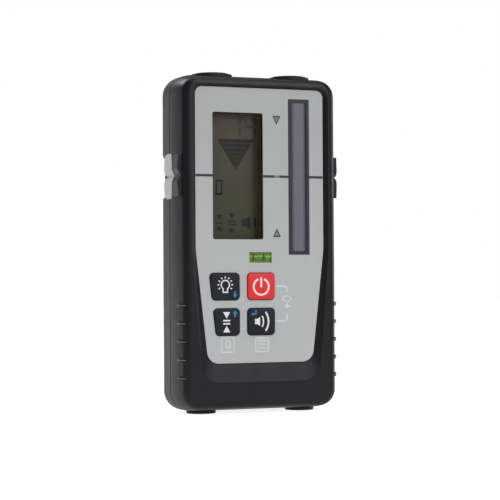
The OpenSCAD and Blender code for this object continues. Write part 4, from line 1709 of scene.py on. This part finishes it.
@dataclass
class KeyPad:
    """The four keys and the signs on them."""

    upper_z: float = 57.5
    lower_z: float = 41.5
    right_column: Point = (-6.55, 6.65)
    left_column_right: float = -10.55
    upper_left: float = -24.3
    lower_left: float = -22.5
    slant: float = 0.1128
    signs: tuple[tuple[Body, str, Finish, Sign], ...] = (
        (Body.BACKLIGHT_KEY, "key_navy", INK_WHITE, BulbSign("backlight", -17.6, 58.3)),
        (Body.BACKLIGHT_KEY, "key_navy", INK_BLUE, ArrowSign("backlight_arrow", -12.9, 55.4, 52.3)),
        (Body.POWER_KEY, "key_red", INK_PINK, PowerSign("power", -0.1, 57.35)),
        (Body.TOLERANCE_KEY, "key_navy", INK_WHITE,
         ToleranceSign("tolerance", -17.05, (46.05, 43.1), (36.9, 39.8), 3.4, 3.4, (42.2, 40.75))),
        (Body.TOLERANCE_KEY, "key_navy", INK_BLUE, ArrowSign("tolerance_arrow", -12.9, 43.8, 46.9)),
        (Body.SOUND_KEY, "key_navy", INK_WHITE,
         SpeakerSign("sound_horn", 41.6, neck=-2.15, mouth=-0.75, box_w=1.2, box_h=2.4, horn_h=4.1,
                     waves=(Wave("sound_wave_near", -4.1, 5.0, 0.65, 36.0),
                            Wave("sound_wave_far", -3.6, 7.0, 0.85, 40.0)))),
        (Body.SOUND_KEY, "key_navy", INK_BLUE,
         ReturnSign("sound_return", stem=(-2.75, 45.8), shaft=(-3.45, 44.95), head_x=-4.6)),
    )

    def build(self) -> None:
        """Models the keys and prints their signs."""
        left, right = self.right_column
        keys = [
            KeyCap("backlight_key", Body.BACKLIGHT_KEY, KEY_NAVY, "key_navy", self.upper_left,
                   self.left_column_right, self.upper_z, self.slant),
            KeyCap("power_key", Body.POWER_KEY, KEY_RED, "key_red", left, right, self.upper_z),
            KeyCap("tolerance_key", Body.TOLERANCE_KEY, KEY_NAVY, "key_navy", self.lower_left,
                   self.left_column_right, self.lower_z, self.slant),
            KeyCap("sound_key", Body.SOUND_KEY, KEY_NAVY, "key_navy", left, right, self.lower_z),
        ]
        for key in keys:
            key.build()
        face = node_front("power_key")
        for body, slot, finish, sign in self.signs:
            sign.show(Press(face, body, slot), finish)


@dataclass(frozen=True)
class Lamp:
    """A square soft box: where it hangs, its side and its power in watts."""

    name: str
    place: Place
    size: float
    power: float


@dataclass
class Studio:
    """The camera, the soft lights and the pale floor."""

    azimuth: float = 22.3
    place: Place = (-289.82, -707.54, 60.75)
    pitch: float = 1.012
    roll: float = -0.337
    focal_px: float = 1655.1
    image_px: float = 500.0
    sensor: float = 36.0
    clip: Point = (10.0, 50000.0)
    floor_size: float = 6000.0
    floor_bounce: float = 0.8
    floor_seen: float = 0.4
    floor_white: float = 0.86
    floor_dusk: Point = (-250.0, 150.0)
    floor_dusk_light: float = 0.12
    aim_z: float = 80.0
    lamps: tuple[Lamp, ...] = (
        Lamp("key_light", (1350, -2400, 2700), 2100, 44.0),
        Lamp("front_light", (1000, -2300, 950), 800, 13.0),
        Lamp("side_light", (1200, 120, 150), 500, 3.4),
        Lamp("top_light", (0, 100, 900), 700, 2.2),
        Lamp("back_light", (-420, 780, 900), 420, 4.4),
    )
    room_light: float = 0.42
    dusk: Point = (0.5, 0.95)
    dusk_light: float = 0.1
    ceiling: Point = (0.1, 0.4)
    ceiling_light: float = 0.12

    def build(self) -> None:
        """Sets up the studio."""
        self.place_camera()
        self.lay_floor()
        self.light()
        bpy.context.scene.view_settings.view_transform = "Standard"

    def place_camera(self) -> None:
        """Stands the camera to the front left, where the photograph was taken from."""
        turn, pitch, roll = (math.radians(angle) for angle in (self.azimuth, self.pitch, self.roll))
        ahead = Vector((math.sin(turn), math.cos(turn), 0))
        forward = ahead * math.cos(pitch) + Vector((0, 0, math.sin(pitch)))
        level = Vector((math.cos(turn), -math.sin(turn), 0))
        upright = level.cross(forward)
        right = level * math.cos(roll) + upright * math.sin(roll)
        up = upright * math.cos(roll) - level * math.sin(roll)
        lens = bpy.data.cameras.new("camera")
        lens.sensor_width = self.sensor
        lens.lens = self.focal_px / self.image_px * self.sensor
        lens.clip_start = self.clip[0] * MM
        lens.clip_end = self.clip[1] * MM
        camera = bpy.data.objects.new("camera", lens)
        bpy.context.scene.collection.objects.link(camera)
        axes = Matrix((right, up, -forward)).transposed()
        camera.matrix_world = Matrix.Translation(Vector(self.place) * MM) @ axes.to_4x4()
        bpy.context.scene.camera = camera

    def lay_floor(self) -> None:
        """Lays a pale floor that stays white to the eye but keeps the shadow."""
        deselect_all()
        bpy.ops.mesh.primitive_plane_add(size=self.floor_size * MM)
        floor = bpy.context.object
        floor.name = "floor"
        material = bpy.data.materials.new("floor_white")
        material.use_nodes = True
        graph = Graph(material.node_tree)
        plain, seen = (graph.feed("BsdfDiffuse", Color=(grey, grey, grey, 1))
                       for grey in (self.floor_bounce, self.floor_seen))
        glow = graph.node("Emission")
        graph.join(self.floor_glow(graph), glow.inputs["Strength"])
        both = graph.feed("AddShader", seen, glow.outputs[0])
        graph.end("OutputMaterial", graph.feed("MixShader", graph.seen_rays(), plain, both))
        floor.data.materials.append(material)

    def floor_glow(self, graph: Graph) -> Socket:
        """Makes the floor glow white to the camera and behind the object, and less in front of it.

        Args:
            graph: The nodes of the floor's material.

        Returns:
            How strongly the floor glows.
        """
        depth = graph.axis(graph.node("TexCoord").outputs["Object"], "Y")
        low, high = (place * MM for place in self.floor_dusk)
        mirrored = graph.spread(depth, (low, high), (self.floor_dusk_light, self.floor_white))
        direct = graph.spread(graph.camera_rays(), (0.0, 1.0), (0.0, self.floor_white))
        return graph.work_out(Maths.MAXIMUM, mirrored, direct)

    def light(self) -> None:
        """Lights the scene from the surroundings and the soft boxes."""
        world = bpy.data.worlds.new("studio")
        bpy.context.scene.world = world
        world.use_nodes = True
        graph = Graph(world.node_tree)
        dim = graph.feed("Background", Color=WHITE, Strength=self.room_light)
        white = graph.feed("Background", Color=WHITE)
        graph.join(self.backdrop(graph), white.node.inputs["Strength"])
        graph.end("OutputWorld", graph.feed("MixShader", graph.seen_rays(), dim, white))
        for lamp in self.lamps:
            self.soft_box(lamp)

    def backdrop(self, graph: Graph) -> Socket:
        """Makes the surroundings white to the camera and behind the object, and dusky in front and above.

        Args:
            graph: The nodes of the world.

        Returns:
            How bright the surroundings look.
        """
        way = graph.node("TexCoord").outputs["Generated"]
        behind = graph.spread(graph.axis(way, "Y"), self.dusk, (self.dusk_light, 1.0))
        above = graph.spread(graph.axis(way, "Z"), self.ceiling, (1.0, self.ceiling_light))
        mirrored = graph.work_out(Maths.MULTIPLY, behind, above)
        return graph.work_out(Maths.MAXIMUM, mirrored, graph.camera_rays())

    def soft_box(self, lamp: Lamp) -> None:
        """Hangs a soft box that looks at the object.

        Args:
            lamp: Its name, place, side and power.
        """
        light = bpy.data.lights.new(lamp.name, "AREA")
        light.size = lamp.size * MM
        light.energy = lamp.power
        box = bpy.data.objects.new(lamp.name, light)
        bpy.context.scene.collection.objects.link(box)
        box.location = Vector(lamp.place) * MM
        aim = Vector((0, 0, self.aim_z * MM)) - box.location
        box.rotation_euler = aim.to_track_quat("-Z", "Y").to_euler()


def main() -> None:
    """Dresses the frame, adds what it lacks and sets up the studio."""
    logging.basicConfig(level=logging.INFO, format="%(message)s")
    Studio().build()
    dress_nodes()
    for assembly in (GripEdges(), FrontPanel(), Display(), LightSensor(), LevelVial(), KeyPad()):
        assembly.build()


if __name__ == "__main__":
    main()
